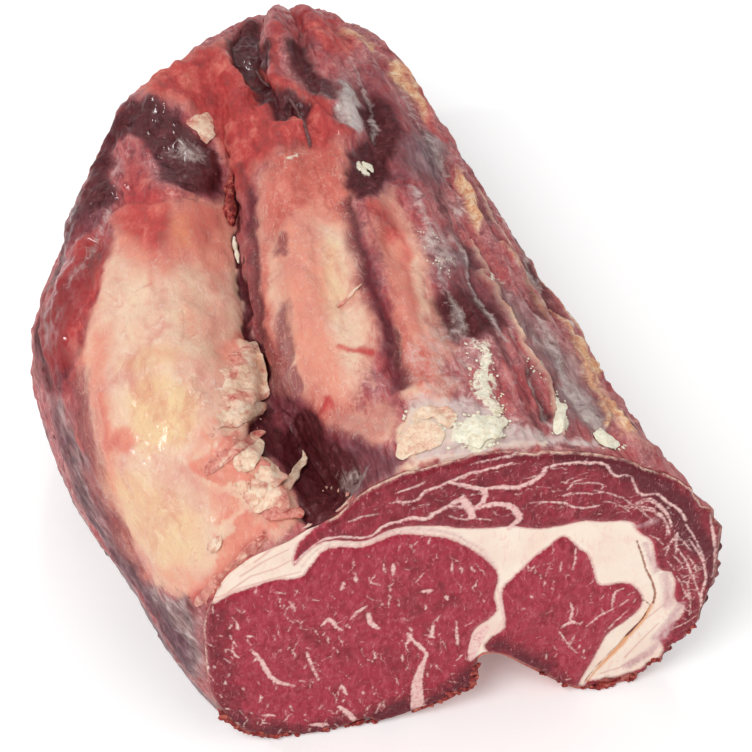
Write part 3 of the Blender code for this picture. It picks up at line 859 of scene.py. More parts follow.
SKIN_LINE_PIXELS = (
    ("dark", 4, 1.0, (2, 4), ((232, 150), (236, 190), (238, 235), (242, 290), (248, 335), (262, 352),
        (269, 378))),
    ("stain", 8, 0.95, (6, 8), ((246, 170), (249, 205), (252, 240), (254, 275), (258, 300), (262, 330),
        (272, 352))),
    ("stain", 8, 1.0, (4, 11), ((286, 312), (284, 335), (280, 370))),
    ("stain", 6, 1.0, (6, 8), ((296, 368), (299, 382))),
    ("stain", 7, 1.0, (6, 7), ((285, 240), (283, 252))),
    ("stain", 12, 1.0, (7, 12), ((350, 205), (362, 250), (368, 290), (380, 322), (394, 355), (404, 384))),
    ("dark", 10, 0.7, (4, 7), ((352, 196), (360, 236), (368, 280), (378, 318), (390, 350))),
    ("dark", 9, 0.72, (4, 6), ((440, 196), (460, 240), (480, 286), (500, 326))),
    ("dark", 8, 0.62, (3, 5), ((476, 186), (500, 232), (526, 276), (548, 316))),
    ("dark", 8, 0.66, (3, 5), ((486, 330), (508, 366), (528, 404), (540, 436))),
    ("dark", 8, 0.6, (4, 6), ((246, 170), (250, 215), (255, 255), (259, 300), (266, 340))),
    ("frost_and_sheen", 5, 0.8, (2, 3), ((452, 240), (468, 268), (486, 304), (500, 340))),
    ("frost_and_sheen", 4, 0.8, (1.5, 2.5), ((500, 214), (524, 254), (546, 294), (566, 330))),
    ("frost_and_sheen", 4, 0.75, (1.5, 2.5), ((508, 330), (524, 362), (540, 398), (552, 430))),
    ("frost_and_sheen", 5, 0.85, (2, 4), ((472, 346), (482, 376), (494, 404))),
    # Painted highlights along the top of the far end.
    ("frost_and_sheen", 6, 0.75, (2, 3), ((352, 60), (364, 84), (372, 110), (376, 136))),
    ("frost_and_sheen", 8, 0.7, (4, 5), ((416, 190), (432, 240), (446, 290), (462, 330))),
    ("frost_and_sheen", 8, 0.75, (3, 6), ((530, 300), (552, 344), (574, 390), (600, 430))),
    ("frost_and_sheen", 7, 0.6, (3, 5), ((404, 90), (420, 130), (440, 168), (462, 210))),
    ("dark", 8, 0.62, (3, 8), ((384, 300), (393, 330), (398, 350), (404, 384))),
    ("stain", 6, 0.9, (3, 5), ((402, 366), (408, 388))),
    ("dark", 7, 0.8, (4, 7), ((528, 372), (538, 390), (546, 410))),
    ("blush", 14, 0.7, (10, 12), ((104, 255), (84, 330), (78, 376), (88, 430), (98, 484), (118, 530),
        (146, 570))),
    ("blush", 12, 0.5, (5, 7), ((172, 262), (186, 300), (190, 330))),
    ("blush", 10, 0.45, (5, 5), ((150, 356), (186, 360), (230, 372))),
    ("blush", 10, 0.4, (5, 5), ((130, 470), (150, 500), (140, 530))),
    ("blush", 9, 1.0, (7, 10), ((102, 396), (108, 418), (114, 444), (128, 440))),
    ("red", 6, 0.42, (3, 6), ((104, 400), (110, 420), (115, 446), (124, 442))),
    ("blush", 7, 1.0, (5, 8), ((241, 436), (218, 456), (199, 472), (216, 478))),
    ("red", 5, 0.6, (2, 4), ((244, 444), (232, 456))),
    ("red", 4, 0.85, (2, 5), ((318, 412), (332, 404))),
    ("red", 4, 0.85, (2, 4), ((342, 353), (356, 356), (371, 354))),
    ("red", 6, 0.62, (3, 5), ((258, 538), (234, 561), (212, 583), (197, 602))),
    ("blush", 8, 1.0, (8, 8), ((262, 530), (234, 558), (210, 580), (194, 604))),
    ("red", 9, 0.85, (8, 11), ((268, 44), (272, 72), (290, 94), (308, 100), (326, 120), (338, 136))),
    ("blush", 9, 1.0, (8, 11), ((268, 44), (272, 72), (290, 94), (308, 100), (326, 120), (338, 136))),
    ("red", 10, 0.66, (9, 5), ((376, 205), (392, 232), (400, 240), (404, 262))),
    ("red", 9, 0.5, (6, 4), ((398, 262), (406, 296), (424, 332), (446, 352))),
    ("stain", 8, 0.5, (4, 4), ((426, 262), (440, 300), (456, 344))),
    ("red", 8, 0.66, (5, 3), ((410, 66), (424, 92), (434, 118), (446, 142))),
    ("red", 9, 0.5, (5, 5), ((76, 366), (66, 396), (72, 420), (84, 446))),
    ("red", 9, 0.45, (4, 4), ((150, 250), (154, 280), (160, 296))),
    ("blush", 9, 0.8, (4, 5), ((196, 236), (206, 262), (210, 290))),
    ("red", 8, 0.5, (3, 5), ((254, 345), (246, 338), (236, 342))),
    ("red", 8, 0.45, (5, 4), ((470, 220), (486, 250), (500, 276))),
    ("fat", 4, 0.9, (2, 2.6), ((471, 241), (485, 275), (499, 291), (514, 318), (526, 353), (550, 384),
        (559, 438))),
    ("yellow", 4, 0.85, (1.5, 2), ((499, 245), (534, 288), (561, 326), (585, 375), (606, 424))),
    ("yellow", 5, 0.85, (4, 6), ((574, 345), (585, 362), (597, 378))),
    ("yellow", 5, 0.85, (3, 5), ((601, 404), (616, 420), (628, 431))),
    ("yellow", 5, 0.85, (4, 4), ((341, 26), (355, 33), (368, 42))),
    ("fat", 4, 0.95, (3, 3), ((398, 468), (420, 460), (450, 452), (480, 448), (510, 446), (540, 446))),
    # Painted highlight: a pale streak down the wet membrane on the left.
    ("frost_and_sheen", 6, 0.62, (2, 3), ((74, 286), (84, 264), (96, 240), (112, 212))),
    ("dark", 14, 0.5, (16, 18), ((100, 250), (70, 290), (52, 330), (56, 380))),
    ("dark", 12, 0.66, (10, 12), ((90, 196), (62, 246), (42, 292), (36, 340), (46, 384))),
    ("stain", 12, 1.0, (12, 14), ((60, 300), (50, 340), (58, 380))),
    ("stain", 10, 0.8, (8, 8), ((96, 270), (80, 320), (72, 350))),
    ("mould", 5, 0.6, (3, 4), ((528, 353), (538, 362), (546, 370))),
    ("mould", 4, 0.6, (3, 3), ((489, 275), (503, 281))),
    ("mould", 3, 0.9, (3, 3), ((360, 162), (370, 169))),
    ("mould", 4, 0.6, (2, 2), ((282, 174), (290, 162), (302, 158))),
    ("mould", 4, 0.4, (2, 3), ((205, 552), (216, 542), (222, 540))),
    ("wet", 12, 1.0, (18, 16), ((108, 214), (84, 254), (68, 290), (62, 330))),
    ("wet", 14, 0.7, (22, 18), ((150, 120), (190, 160), (110, 190), (80, 225))),
    ("wet", 14, 0.7, (18, 14), ((250, 60), (290, 100), (345, 90), (350, 140))),
    ("wet", 10, 0.5, (16, 16), ((280, 450), (310, 490), (330, 510))),
    ("wet", 20, 0.25, (40, 40), ((170, 400), (180, 520))),
    ("torn", 16, 1.0, (18, 16), ((240, 360), (246, 400), (224, 440), (214, 470))),
    ("torn", 14, 1.0, (26, 22), ((232, 460), (262, 490), (270, 515), (232, 548))),
    ("torn", 14, 0.8, (26, 26), ((170, 90), (215, 90), (250, 140), (310, 130))),
    ("torn", 14, 0.7, (22, 26), ((420, 400), (390, 420), (350, 430))),
    ("torn", 12, 0.6, (12, 12), ((592, 372), (620, 430), (650, 450))),
    ("stain", 14, 0.85, (9, 9), ((80, 380), (92, 450), (108, 512), (136, 562))),
    ("stain", 12, 0.55, (8, 8), ((100, 262), (84, 330))),
    ("blush", 14, 0.75, (22, 22), ((300, 180), (300, 260), (312, 340), (330, 400))),
    ("blush", 12, 0.85, (14, 14), ((384, 215), (400, 290), (418, 350), (430, 392))),
    ("stain", 14, 0.34, (20, 14), ((300, 380), (330, 410), (364, 430), (400, 400))),
)

TISSUES = (
    "grey", "pink", "fat", "tallow", "blush", "stain", "yellow", "red", "dark", "frost_and_sheen", "mould", "wet",
    "torn",
)

# Ridges and furrows: millimetres, softness in pixels, the two half widths and the line
RELIEF_LINE_PIXELS = (
    (2.4, 7, (8, 10), ((268, 44), (272, 72), (290, 94), (308, 102), (326, 120), (338, 138))),
    (-3.6, 7, (8, 6), ((236, 28), (246, 56), (258, 78), (272, 100), (292, 112), (310, 124))),
    (2.4, 7, (10, 13), ((288, 42), (304, 62), (322, 84), (334, 100))),
    (-2.2, 4, (2, 3), ((274, 36), (282, 66), (298, 90), (318, 106), (342, 124))),
    (1.6, 8, (7, 10), ((344, 82), (354, 108), (354, 134))),
    (-1.8, 6, (4, 4), ((366, 80), (374, 110), (380, 140), (384, 172))),
    (-2.4, 5, (4, 6), ((268, 366), (262, 400), (258, 440), (272, 470), (290, 500), (312, 530))),
    (1.8, 6, (4, 5), ((212, 40), (232, 62), (244, 92), (236, 130), (240, 170))),
    (2.2, 7, (6, 8), ((128, 104), (112, 140), (88, 192), (64, 246))),
    (-1.8, 5, (2, 3), ((118, 138), (114, 172), (122, 198), (102, 236), (88, 262))),
    (1.6, 9, (10, 8), ((84, 250), (60, 300), (52, 350))),
    (2.2, 8, (10, 14), ((150, 112), (180, 140), (206, 172))),
    (-1.4, 5, (3, 4), ((120, 198), (150, 200), (190, 204), (232, 206))),
    (1.4, 3, (1.5, 2), ((471, 241), (485, 275), (499, 291), (514, 318), (526, 353), (550, 384),
        (559, 438))),
    (-1.4, 4, (2, 3), ((478, 236), (494, 272), (508, 296), (524, 330), (540, 362), (562, 400))),
    (1.2, 3, (2, 2), ((499, 245), (534, 288), (561, 326), (585, 375), (606, 424))),
    (2.0, 5, (4, 6), ((574, 345), (590, 370), (602, 392))),
    (2.0, 5, (4, 6), ((604, 404), (624, 430), (642, 452))),
    (-2.2, 5, (3, 4), ((592, 388), (606, 404))),
    (1.6, 4, (4, 6), ((456, 176), (474, 200), (484, 222))),
    (-2.0, 6, (5, 6), ((528, 370), (540, 392), (548, 414))),
    (-1.2, 8, (6, 7), ((356, 225), (368, 290), (394, 355), (404, 384))),
    (-1.2, 6, (3, 7), ((284, 312), (284, 340), (280, 372))),
    (1.2, 5, (5, 5), ((102, 396), (110, 420), (116, 444), (128, 438))),
    (-1.6, 3, (1.5, 2), ((204, 472), (222, 462), (244, 446), (262, 432))),
    (-1.6, 3, (1.5, 1.5), ((232, 338), (246, 342), (252, 336), (262, 350))),
    (-1.2, 3, (1.5, 1.5), ((204, 474), (214, 482), (236, 480))),
    (1.3, 3, (2, 3), ((240, 470), (262, 480), (270, 498), (262, 520))),
    (-1.3, 3, (1.5, 2), ((246, 474), (256, 490), (252, 512), (238, 530))),
)


def skin_rows():
    """Distances of the rows: even along the body, then closer together, to a last small ring."""
    turn = np.linspace(0, math.pi / 2 - 0.02, DOME_ROWS + 1)
    body = np.linspace(0, DOME_START, BODY_ROWS, endpoint=False)
    return np.concatenate([body, DOME_START + (LENGTH - DOME_START) * np.sin(turn)])


def skin_columns():
    """Angles of the columns, in three spans that meet in the valley and under the left and right sides."""
    edges = (-14.0, VALLEY_ANGLE - 2, 246.0, 346.0)
    counts = (DOME_COLUMNS, SHOULDER_COLUMNS, UNDER_COLUMNS)
    spans = [np.linspace(a, b, n, endpoint=False) for a, b, n in zip(edges, edges[1:], counts)]
    return np.concatenate(spans + [[edges[-1]]])


def skin_paint(points, normals, y, angle):
    """How much of each tissue shows at each point: the photograph's patches where seen, zones elsewhere."""
    flat = points.reshape(-1, 3)
    seen = ramp(facing(points, normals), 0.02, 0.16).ravel()
    near = seen > 0
    drift = [
        6 * fractal(flat, (15, 24, 15), seed, 2) + 3 * fractal(flat, (4, 7, 4), seed + 4, 3)
        for seed in (61, 71)
    ]
    pixels = in_picture(flat) + np.stack(drift, -1)
    paint = {tissue: np.zeros(len(flat)) for tissue in TISSUES}

    def lay(tissue, soft, strength, depth):
        cover = np.zeros(len(flat))
        cover[near] = strength * ramp(depth, -soft, soft) * seen[near]
        paint[tissue] = np.maximum(paint[tissue], cover)

    for tissue, soft, strength, outline in SKIN_PATCH_PIXELS:
        lay(tissue, soft, strength, depth_inside(pixels[near], outline))
    for tissue, soft, strength, halves, line in SKIN_LINE_PIXELS:
        lay(tissue, soft, strength, depth_in_line(pixels[near], line, *halves))
    drawn = np.zeros(len(flat))
    for height, soft, halves, line in RELIEF_LINE_PIXELS:
        drawn[near] += height * ramp(depth_in_line(pixels[near], line, *halves), -soft, soft) * seen[near]
    paint["drawn"] = drawn

    hidden = 1 - seen
    y, angle = y.ravel(), angle.ravel() % 360
    patches = fractal(flat, (34, 60, 34), 40, 3)
    left = ramp(angle, 176, 190) * (1 - ramp(angle, 236, 262))
    under = ramp(angle, 236, 262) * (1 - ramp(angle, 318, 340))
    right = np.maximum(ramp(angle, 318, 340), 1 - ramp(angle, 20, 60))
    back = ramp(y, 290, 340)
    zones = {
        "grey": 0.85 * left + 0.45 * right + 0.3 * under,
        "pink": 0.5 * under + 0.25 * left + 0.2 * right,
        "blush": (0.5 + 0.5 * patches) * under + 0.3 * back,
        "stain": (0.4 - 0.5 * patches) * (left + right + back),
        "fat": (0.62 + 0.5 * patches) * under + 0.35 * right * (patches > 0.1),
        "red": 0.55 * under + 0.3 * left * back + 0.55 * back,
        "dark": (0.5 - 0.5 * patches) * (right + back),
        "yellow": 0.5 * right * ramp(patches, 0.3, 0.5),
        "mould": 0.4 * right * ramp(patches, 0.2, 0.6),
        "wet": 0.5 * left + 0.4 * back,
    }
    for tissue, cover in zones.items():
        paint[tissue] = np.maximum(paint[tissue], np.clip(cover, 0, 1) * hidden)
    return {tissue: cover.reshape(points.shape[:-1]) for tissue, cover in paint.items()}


def skin_relief(points, y, angle, paint):
    """Height of the fine relief: billows on fat, creases on dry skin, steps where film or mould lies."""
    angle = angle % 360
    dry = 1 - np.clip(paint["fat"] + 0.6 * paint["pink"] + paint["mould"], 0, 1)
    billows = 1.3 * fractal(points, (22, 30, 22), 3, 2) + 0.5 * fractal(points, (7, 10, 7), 7, 3)
    creases = 1.5 * (wrinkles(points, (8, 46, 8), 11, 3) - 0.7)
    creases = creases + 0.7 * (wrinkles(points, (3.4, 11, 3.4), 17, 3) - 0.7)
    crumbly = 2.2 * (wrinkles(points, (9, 9, 9), 23, 4) - 0.6) + 0.8 * fractal(points, 3.2, 27, 2)
    level = 2.6 * fractal(points, (15, 19, 15), 43, 4) + 0.5 * value_noise(points, 3.0, 47)
    layers = np.floor(level) + ramp(level - np.floor(level), 0.0, 0.16)
    paint["blush"] = np.clip(paint["blush"] + paint["torn"] * 0.5 * np.sin(layers * 2.4), 0, 1.2)
    film = 0.5 * ramp(fractal(points, (12, 16, 12), 29, 3), 0.02, 0.12)
    height = billows * (1 - 0.5 * dry) + creases * (0.35 + 0.65 * dry) + film
    height = height + paint["drawn"] + 0.75 * paint["torn"] * layers
    height = height + crumbly * (0.12 * paint["red"] + 0.3 * paint["torn"])
    height = height + 0.7 * paint["fat"] + 0.4 * paint["pink"] - 1.4 * paint["dark"]
    chunks = 1.1 + 0.9 * (wrinkles(points, (6, 6, 6), 31, 3) - 0.5)
    height = height + ramp(paint["mould"], 0.4, 0.9) * chunks + 0.9 * paint["yellow"]
    folds = 2.2 * ramp(y, 255, 310) * (1 - 0.85 * ramp(y, 318, 365))
    folds = folds * (wrinkles(points, (24, 70, 24), 37, 2) - 0.62)
    filled = 2.6 * bell(angle, 88, 6) + 2.8 * bell(angle, 112, 7) - 1.3 * bell(angle, 99, 6)
    folds = folds + filled * ramp(y, 320, 350)
    flank = np.maximum(ramp(angle, 326, 344), 1 - ramp(angle, 22, 40)) * ramp(y, 4, 30)
    folds = folds + 1.8 * flank * (wrinkles(points, (9, 16, 9), 53, 3) - 0.6)
    on_floor = ramp(points[..., 2], 1, 14)
    at_face = ramp(y, 0, 7)
    at_tip = 1 - 0.75 * ramp(y, 370, LENGTH)
    return (height + folds) * on_floor * (0.15 + 0.85 * at_face) * at_tip


# Where the cut's lower edge rises from the floor, left of the notch
LIFTED_EDGE_PIXELS = ((372, 724), (400, 714), (430, 703), (452, 693), (474, 684), (490, 674))


def lifted_edge(x):
    """Height of the cut's lower edge where it rises towards the notch. It is 0 elsewhere."""
    across, height = on_face(LIFTED_EDGE_PIXELS).T
    return np.interp(x, across, np.maximum(height, 0), left=0.0, right=0.0)


def make_skin():
    """The whole skin on one grid of stations by angles: the form's radius about the core line, then relief
    along the normals. Returns the rows' distances, the plain form, its normals, the tissues, the points."""
    y, angle = np.meshgrid(skin_rows(), skin_columns(), indexing="ij")
    base = place(y, angle, section_radius(y, angle % 360) * dome_share(y, angle))
    normals = grid_normals(base)
    normals[:, -1] = normals[:, 0]
    paint = skin_paint(base, normals, y, angle)
    points = base + normals * skin_relief(base, y, angle, paint)[..., None]
    points[:, -1] = points[:, 0]
    points[..., 2] = np.maximum(points[..., 2], 0.0)
    below = lifted_edge(points[..., 0]) * (1 - ramp(points[..., 1], 15, 85)) - points[..., 2]
    points[..., 2] += 0.95 * np.maximum(below, 0)
    return y[:, 0], base, normals, paint, points


def slice_piece(name, points, paint, first, last, rows_y):
    """One slice of the skin between two columns, with walls to the core line and a fan over each end."""
    outer = points[:, first:last + 1]
    rows, columns = outer.shape[:2]
    core = np.stack([core_x(rows_y), rows_y, np.full(rows, CORE_Z)], -1)
    core[-1, 1] = min(core[-1, 1] + 0.5, LENGTH)
    vertices = np.vstack([outer.reshape(-1, 3), core])
    axis = rows * columns + np.arange(rows)
    row = np.arange(rows - 1)
    wall = []
    for column in (0, columns - 1):
        side = [row * columns + column, (row + 1) * columns + column, axis[1:], axis[:-1]]
        wall.append(np.stack(side if column == 0 else side[::-1], -1))
    across = np.arange(columns - 1)
    front = np.stack([across + 1, across, np.full(columns - 1, axis[0])], -1)
    last_row = (rows - 1) * columns + across
    back = np.stack([last_row, last_row + 1, np.full(columns - 1, axis[-1])], -1)
    fields = {
        tissue: np.concatenate([cover[:, first:last + 1].ravel(), np.zeros(rows)])
        for tissue, cover in paint.items()
    }
    return mesh_piece(name, vertices, [grid_faces(rows, columns), *wall, front, back], SKIN, fields, 70)


skin_y, skin_base, skin_normals, skin_tissue, skin_points = make_skin()
SPANS = np.cumsum([0, DOME_COLUMNS, SHOULDER_COLUMNS, UNDER_COLUMNS])

dome = slice_piece("dome_skin", skin_points, skin_tissue, SPANS[0], SPANS[1], skin_y)
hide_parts("cap_muscle")
shoulder = slice_piece("shoulder_skin", skin_points, skin_tissue, SPANS[1], SPANS[2], skin_y)
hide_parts("fat")
underside = slice_piece("underside_skin", skin_points, skin_tissue, SPANS[2], SPANS[3], skin_y)
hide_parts("inner_muscle")


# The cut face, as places in the photograph. A line has its half widths at the start and the end, in pixels,
# before its points. Deep meat has how much darker it is, a half width in pixels and the points.

EYE_MUSCLE_PIXELS = (
    (198, 618), (211, 604), (229, 593), (249, 586), (273, 578), (289, 577), (301, 575), (309, 566),
    (317, 555), (328, 546), (344, 545), (358, 545), (372, 541), (384, 535), (400, 531), (417, 532),
    (437, 534), (451, 538), (459, 541), (474, 550), (486, 559), (496, 570), (497, 581), (493, 594),
    (496, 607), (486, 618), (474, 627), (470, 640), (469, 653), (486, 662), (492, 690), (470, 760),
    (240, 800), (170, 740), (180, 660),
)
INNER_MUSCLE_PIXELS = (
    (563, 534), (570, 538), (578, 546), (587, 553), (592, 566), (597, 582), (607, 583), (618, 581),
    (630, 583), (639, 591), (642, 598), (639, 607), (626, 618), (607, 631), (598, 646), (589, 663),
    (579, 680), (574, 700), (555, 720), (520, 690), (500, 660), (484, 646), (491, 636), (504, 626),
    (503, 607), (501, 594), (503, 585), (511, 577), (520, 568), (533, 555), (548, 544), (557, 536),
)
CAP_MUSCLE_PIXELS = (
    (294, 563), (303, 553), (312, 546), (322, 540), (340, 538), (360, 539), (372, 535), (386, 528),
    (402, 524), (420, 523), (438, 523), (450, 524), (459, 526), (487, 525), (501, 524), (512, 523),
    (529, 526), (544, 526), (566, 522), (585, 518), (600, 519), (618, 518), (632, 519), (637, 529),
    (650, 537), (654, 552), (657, 568), (670, 570), (675, 581), (674, 598), (684, 604), (682, 613),
    (676, 619), (659, 634), (663, 652), (637, 668), (607, 678), (584, 683), (600, 730), (690, 720),
    (780, 600), (760, 480), (640, 400), (440, 400), (330, 470), (328, 505), (324, 520), (312, 529),
    (300, 540), (294, 552),
)
MEMBRANE_LINE_PIXELS = (
    (1.2, 3.4, ((302, 566), (310, 555), (318, 548), (330, 543), (345, 542), (360, 542), (374, 537),
        (388, 530), (402, 528), (417, 527))),
    (3.4, 1.6, ((417, 527), (437, 529), (453, 533), (467, 541), (480, 548), (487, 556), (496, 566))),
    (6.0, 8.5, ((680, 604), (669, 622), (658, 636))),
    (5.5, 7.5, ((658, 642), (648, 652), (628, 664))),
    (3.0, 5.0, ((634, 524), (642, 522), (652, 517))),
    (5.5, 7.0, ((664, 574), (668, 588), (668, 604))),
    (3.8, 4.6, ((645, 542), (650, 556), (656, 570))),
)
MARBLING_LINE_PIXELS = (
    (1.8, 2.2, ((295, 560), (304, 551), (314, 543), (325, 535), (346, 533), (358, 534), (366, 534),
        (374, 529))),
    (2.2, 2.2, ((374, 529), (381, 522), (390, 519), (400, 517), (409, 513), (416, 514), (425, 516),
        (433, 509), (442, 504), (451, 501), (463, 504))),
    (1.2, 2.0, ((388, 499), (404, 498), (417, 497), (423, 487), (437, 483), (449, 478), (468, 470),
        (487, 466), (511, 459))),
    (3.5, 5.0, ((452, 498), (462, 495), (468, 504), (471, 513))),
    (2.0, 3.0, ((449, 479), (470, 483), (484, 486), (484, 496), (474, 504))),
    (2.2, 3.0, ((484, 485), (503, 483), (514, 485), (529, 479), (541, 472), (544, 464))),
    (3.0, 3.6, ((474, 504), (492, 500), (505, 500), (514, 505), (519, 514), (513, 520), (508, 526))),
    (2.0, 1.0, ((544, 463), (559, 460), (574, 458), (600, 459), (607, 462), (609, 469), (615, 473),
        (622, 470), (630, 473))),
    (1.2, 1.6, ((630, 473), (635, 487), (641, 491), (656, 490), (667, 499), (678, 505), (684, 516))),
    (1.0, 1.2, ((529, 499), (544, 498), (561, 498), (574, 504), (587, 504), (598, 501))),
    (1.0, 1.4, ((637, 504), (642, 496), (656, 500), (667, 512), (670, 522))),
    (0.9, 1.2, ((637, 505), (650, 506), (664, 516), (668, 530))),
    (1.2, 1.4, ((689, 538), (697, 548), (702, 559), (705, 574), (700, 589), (700, 607), (697, 622),
        (691, 628))),
    (1.0, 1.0, ((662, 545), (672, 538), (676, 528), (668, 540), (664, 552))),
    (0.8, 1.0, ((676, 545), (684, 556), (690, 570), (686, 584), (690, 596))),
    (0.7, 0.8, ((560, 478), (575, 480), (592, 478), (604, 482))),
    (0.8, 0.6, ((566, 485), (573, 477), (585, 474))),
    (0.7, 0.6, ((592, 486), (606, 489), (620, 493), (631, 501))),
    (0.6, 0.5, ((604, 497), (616, 500), (628, 508))),
    (0.9, 1.2, ((634, 500), (646, 493), (658, 500), (667, 511), (670, 522))),
    (0.7, 0.9, ((636, 502), (650, 504), (660, 511), (666, 522), (664, 532))),
    (0.7, 0.5, ((634, 503), (644, 510), (652, 518))),
    (1.3, 0.8, ((676, 530), (674, 540), (675, 550))),
    (0.9, 0.6, ((684, 520), (692, 532), (699, 546), (704, 560))),
    (0.7, 0.5, ((676, 532), (684, 540), (690, 548))),
    (0.6, 0.5, ((662, 541), (656, 534), (648, 532))),
    (0.8, 0.5, ((686, 552), (692, 560), (696, 572))),
    (0.7, 0.6, ((681, 575), (689, 572), (697, 574))),
    (0.8, 0.5, ((692, 574), (697, 588), (700, 600))),
    (0.7, 0.4, ((684, 588), (690, 600), (688, 612))),
    (0.6, 0.4, ((676, 574), (682, 584), (684, 594))),
    (0.6, 0.4, ((672, 552), (680, 560), (682, 568))),
    (0.6, 0.5, ((666, 558), (674, 568))),
    (0.7, 0.5, ((678, 602), (688, 610), (697, 606))),
    (0.8, 0.6, ((672, 626), (684, 620), (696, 612))),
    (1.2, 2.2, ((709, 512), (711, 528), (714, 544))),
    (2.2, 0.8, ((714, 544), (714, 560), (711, 574))),
    (0.8, 1.8, ((706, 598), (706, 610), (703, 624))),
    (0.7, 0.7, ((560, 492), (572, 488), (588, 490), (600, 488))),
    (0.8, 0.7, ((448, 512), (460, 516), (480, 514), (492, 516))),
    (1.0, 0.6, ((346, 518), (362, 512), (378, 510))),
    (1.0, 0.8, ((395, 489), (410, 484), (424, 478))),
    (0.9, 0.9, ((470, 461), (490, 456), (512, 452), (540, 450))),
    (1.0, 0.8, ((574, 546), (574, 559), (571, 566))),
    (1.0, 0.9, ((560, 559), (559, 568))),
    (0.9, 0.7, ((533, 561), (529, 568))),
    (1.2, 1.6, ((569, 599), (572, 607), (568, 618), (561, 624))),
    (2.0, 1.6, ((561, 622), (570, 618), (578, 620))),
    (1.0, 1.6, ((585, 622), (598, 612), (613, 605))),
    (1.6, 1.0, ((611, 602), (613, 589), (622, 586))),
    (0.8, 0.8, ((558, 628), (566, 640), (576, 650))),
    (0.8, 0.8, ((604, 628), (616, 616), (628, 606))),
    (2.2, 2.4, ((251, 646), (259, 655), (266, 667), (271, 675), (281, 680), (293, 683))),
    (1.6, 2.4, ((349, 616), (354, 610), (366, 602))),
    (2.6, 2.8, ((367, 610), (370, 620), (377, 625))),
    (2.2, 1.6, ((322, 621), (329, 614), (336, 624), (341, 627))),
    (2.4, 2.6, ((420, 588), (432, 587))),
    (2.0, 1.2, ((343, 579), (340, 588))),
    (1.8, 2.0, ((354, 574), (357, 579))),
    (2.0, 2.2, ((392, 559), (392, 570))),
    (1.6, 1.8, ((444, 592), (447, 596))),
    (1.6, 1.4, ((409, 540), (410, 544))),
    (1.6, 2.0, ((290, 600), (294, 608))),
    (1.4, 1.6, ((306, 650), (313, 667), (318, 677))),
    (1.2, 1.4, ((236, 620), (238, 626))),
    (1.4, 1.2, ((246, 632), (253, 633))),
    (1.4, 1.8, ((433, 618), (431, 634))),
    (1.4, 1.6, ((423, 632), (435, 635))),
    (1.0, 1.4, ((455, 618), (457, 642))),
    (1.8, 1.6, ((342, 683), (345, 691))),
    (2.6, 3.4, ((338, 703), (346, 708), (354, 717))),
    (2.6, 3.0, ((308, 720), (328, 721))),
    (1.8, 2.0, ((262, 711), (274, 712))),
    (3.4, 2.0, ((407, 630), (410, 637), (404, 642))),
    (2.0, 2.4, ((410, 636), (418, 642), (426, 651))),
    (2.4, 9.0, ((426, 652), (420, 664), (416, 680), (416, 712))),
    (7.5, 6.0, ((484, 626), (476, 640), (471, 656))),
    (1.6, 1.0, ((497, 586), (500, 600), (503, 618), (494, 632))),
    (2.4, 3.0, ((604, 688), (622, 682), (640, 676))),
    (3.0, 3.6, ((578, 700), (590, 694), (604, 690))),
)
CRACK_LINE_PIXELS = (
    (0.7, 1.1, ((636, 539), (641, 552), (645, 567), (652, 581), (655, 592), (653, 602))),
    (0.35, 0.35, ((641, 598), (649, 603))),
    (0.45, 0.3, ((650, 604), (643, 618), (631, 630), (621, 640), (606, 654), (595, 666), (584, 680))),
)
SPLIT_LINE_PIXELS = (
    (1.6, 4.0, ((653, 601), (648, 610), (640, 622), (630, 632))),
    (4.0, 3.4, ((630, 632), (622, 642), (612, 652))),
    (3.4, 1.4, ((612, 652), (600, 664), (587, 680))),
)
FAT_LINE_PIXELS = (
    ((212, 598), (240, 586), (270, 577), (300, 570)),
    ((228, 590), (250, 574), (276, 566), (296, 556)),
    ((240, 574), (262, 560), (288, 548)),
    ((254, 560), (272, 548), (290, 540)),
    ((645, 618), (660, 606), (676, 596)),
    ((624, 656), (640, 640), (658, 622)),
    ((600, 672), (624, 664), (644, 652)),
)
DEEP_MEAT_PIXELS = (
    (2.5, 15, ((560, 446), (600, 454), (640, 470), (674, 504), (700, 545))),
    (2.4, 10, ((706, 545), (714, 590), (704, 630), (676, 662), (640, 680))),
    (1.8, 8, ((440, 464), (500, 452), (560, 448))),
    (1.5, 6, ((620, 482), (640, 486), (660, 500))),
    (1.8, 11, ((494, 642), (514, 650), (536, 664), (556, 684))),
    (2.3, 15, ((432, 702), (456, 688), (480, 668))),
    (1.1, 10, ((216, 600), (214, 640), (224, 700))),
    (2.1, 19, ((214, 712), (250, 730), (300, 734), (360, 722), (396, 708))),
    (0.7, 12, ((212, 640), (224, 668), (240, 690))),
    (1.0, 8, ((340, 512), (352, 500), (380, 492))),
)
CAP_BAND_PIXELS = (
    (340, 512), (400, 478), (500, 454), (600, 452), (660, 490), (700, 560), (690, 640), (672, 600),
    (668, 560), (640, 512), (560, 514), (460, 518), (380, 520),
)
RIGHT_BAND_PIXELS = ((640, 500), (680, 500), (706, 560), (700, 620), (680, 640), (680, 590), (664, 540))

# Two neighbours in the middle of the cut, which give the size of a pixel there
NEIGHBOUR_PIXELS = ((400, 600), (401, 600))

# Random streaks: how many, the heading and its spread in degrees, the length and half width in millimetres
EYE_FLECKS = (260, 98, 24, (1.0, 5.5), (-0.1, 0.42))
INNER_FLECKS = (60, 70, 45, (1.0, 4.0), (-0.1, 0.32))
CAP_FLECKS = (110, 8, 20, (1.5, 6.0), (-0.25, 0.12))
RIGHT_FLECKS = (36, 105, 34, (1.5, 5.0), (-0.25, 0.14))

# The slab behind the cut: how far back it goes, and how much smaller it is there at the sides and the edges
SLAB_DEPTH = 3.0
SIDE_INSET = 2.4
EDGE_INSET = 1.4
# Share of the face's rows that lie below its waist, where the rows run level
WAIST_SHARE = 0.4


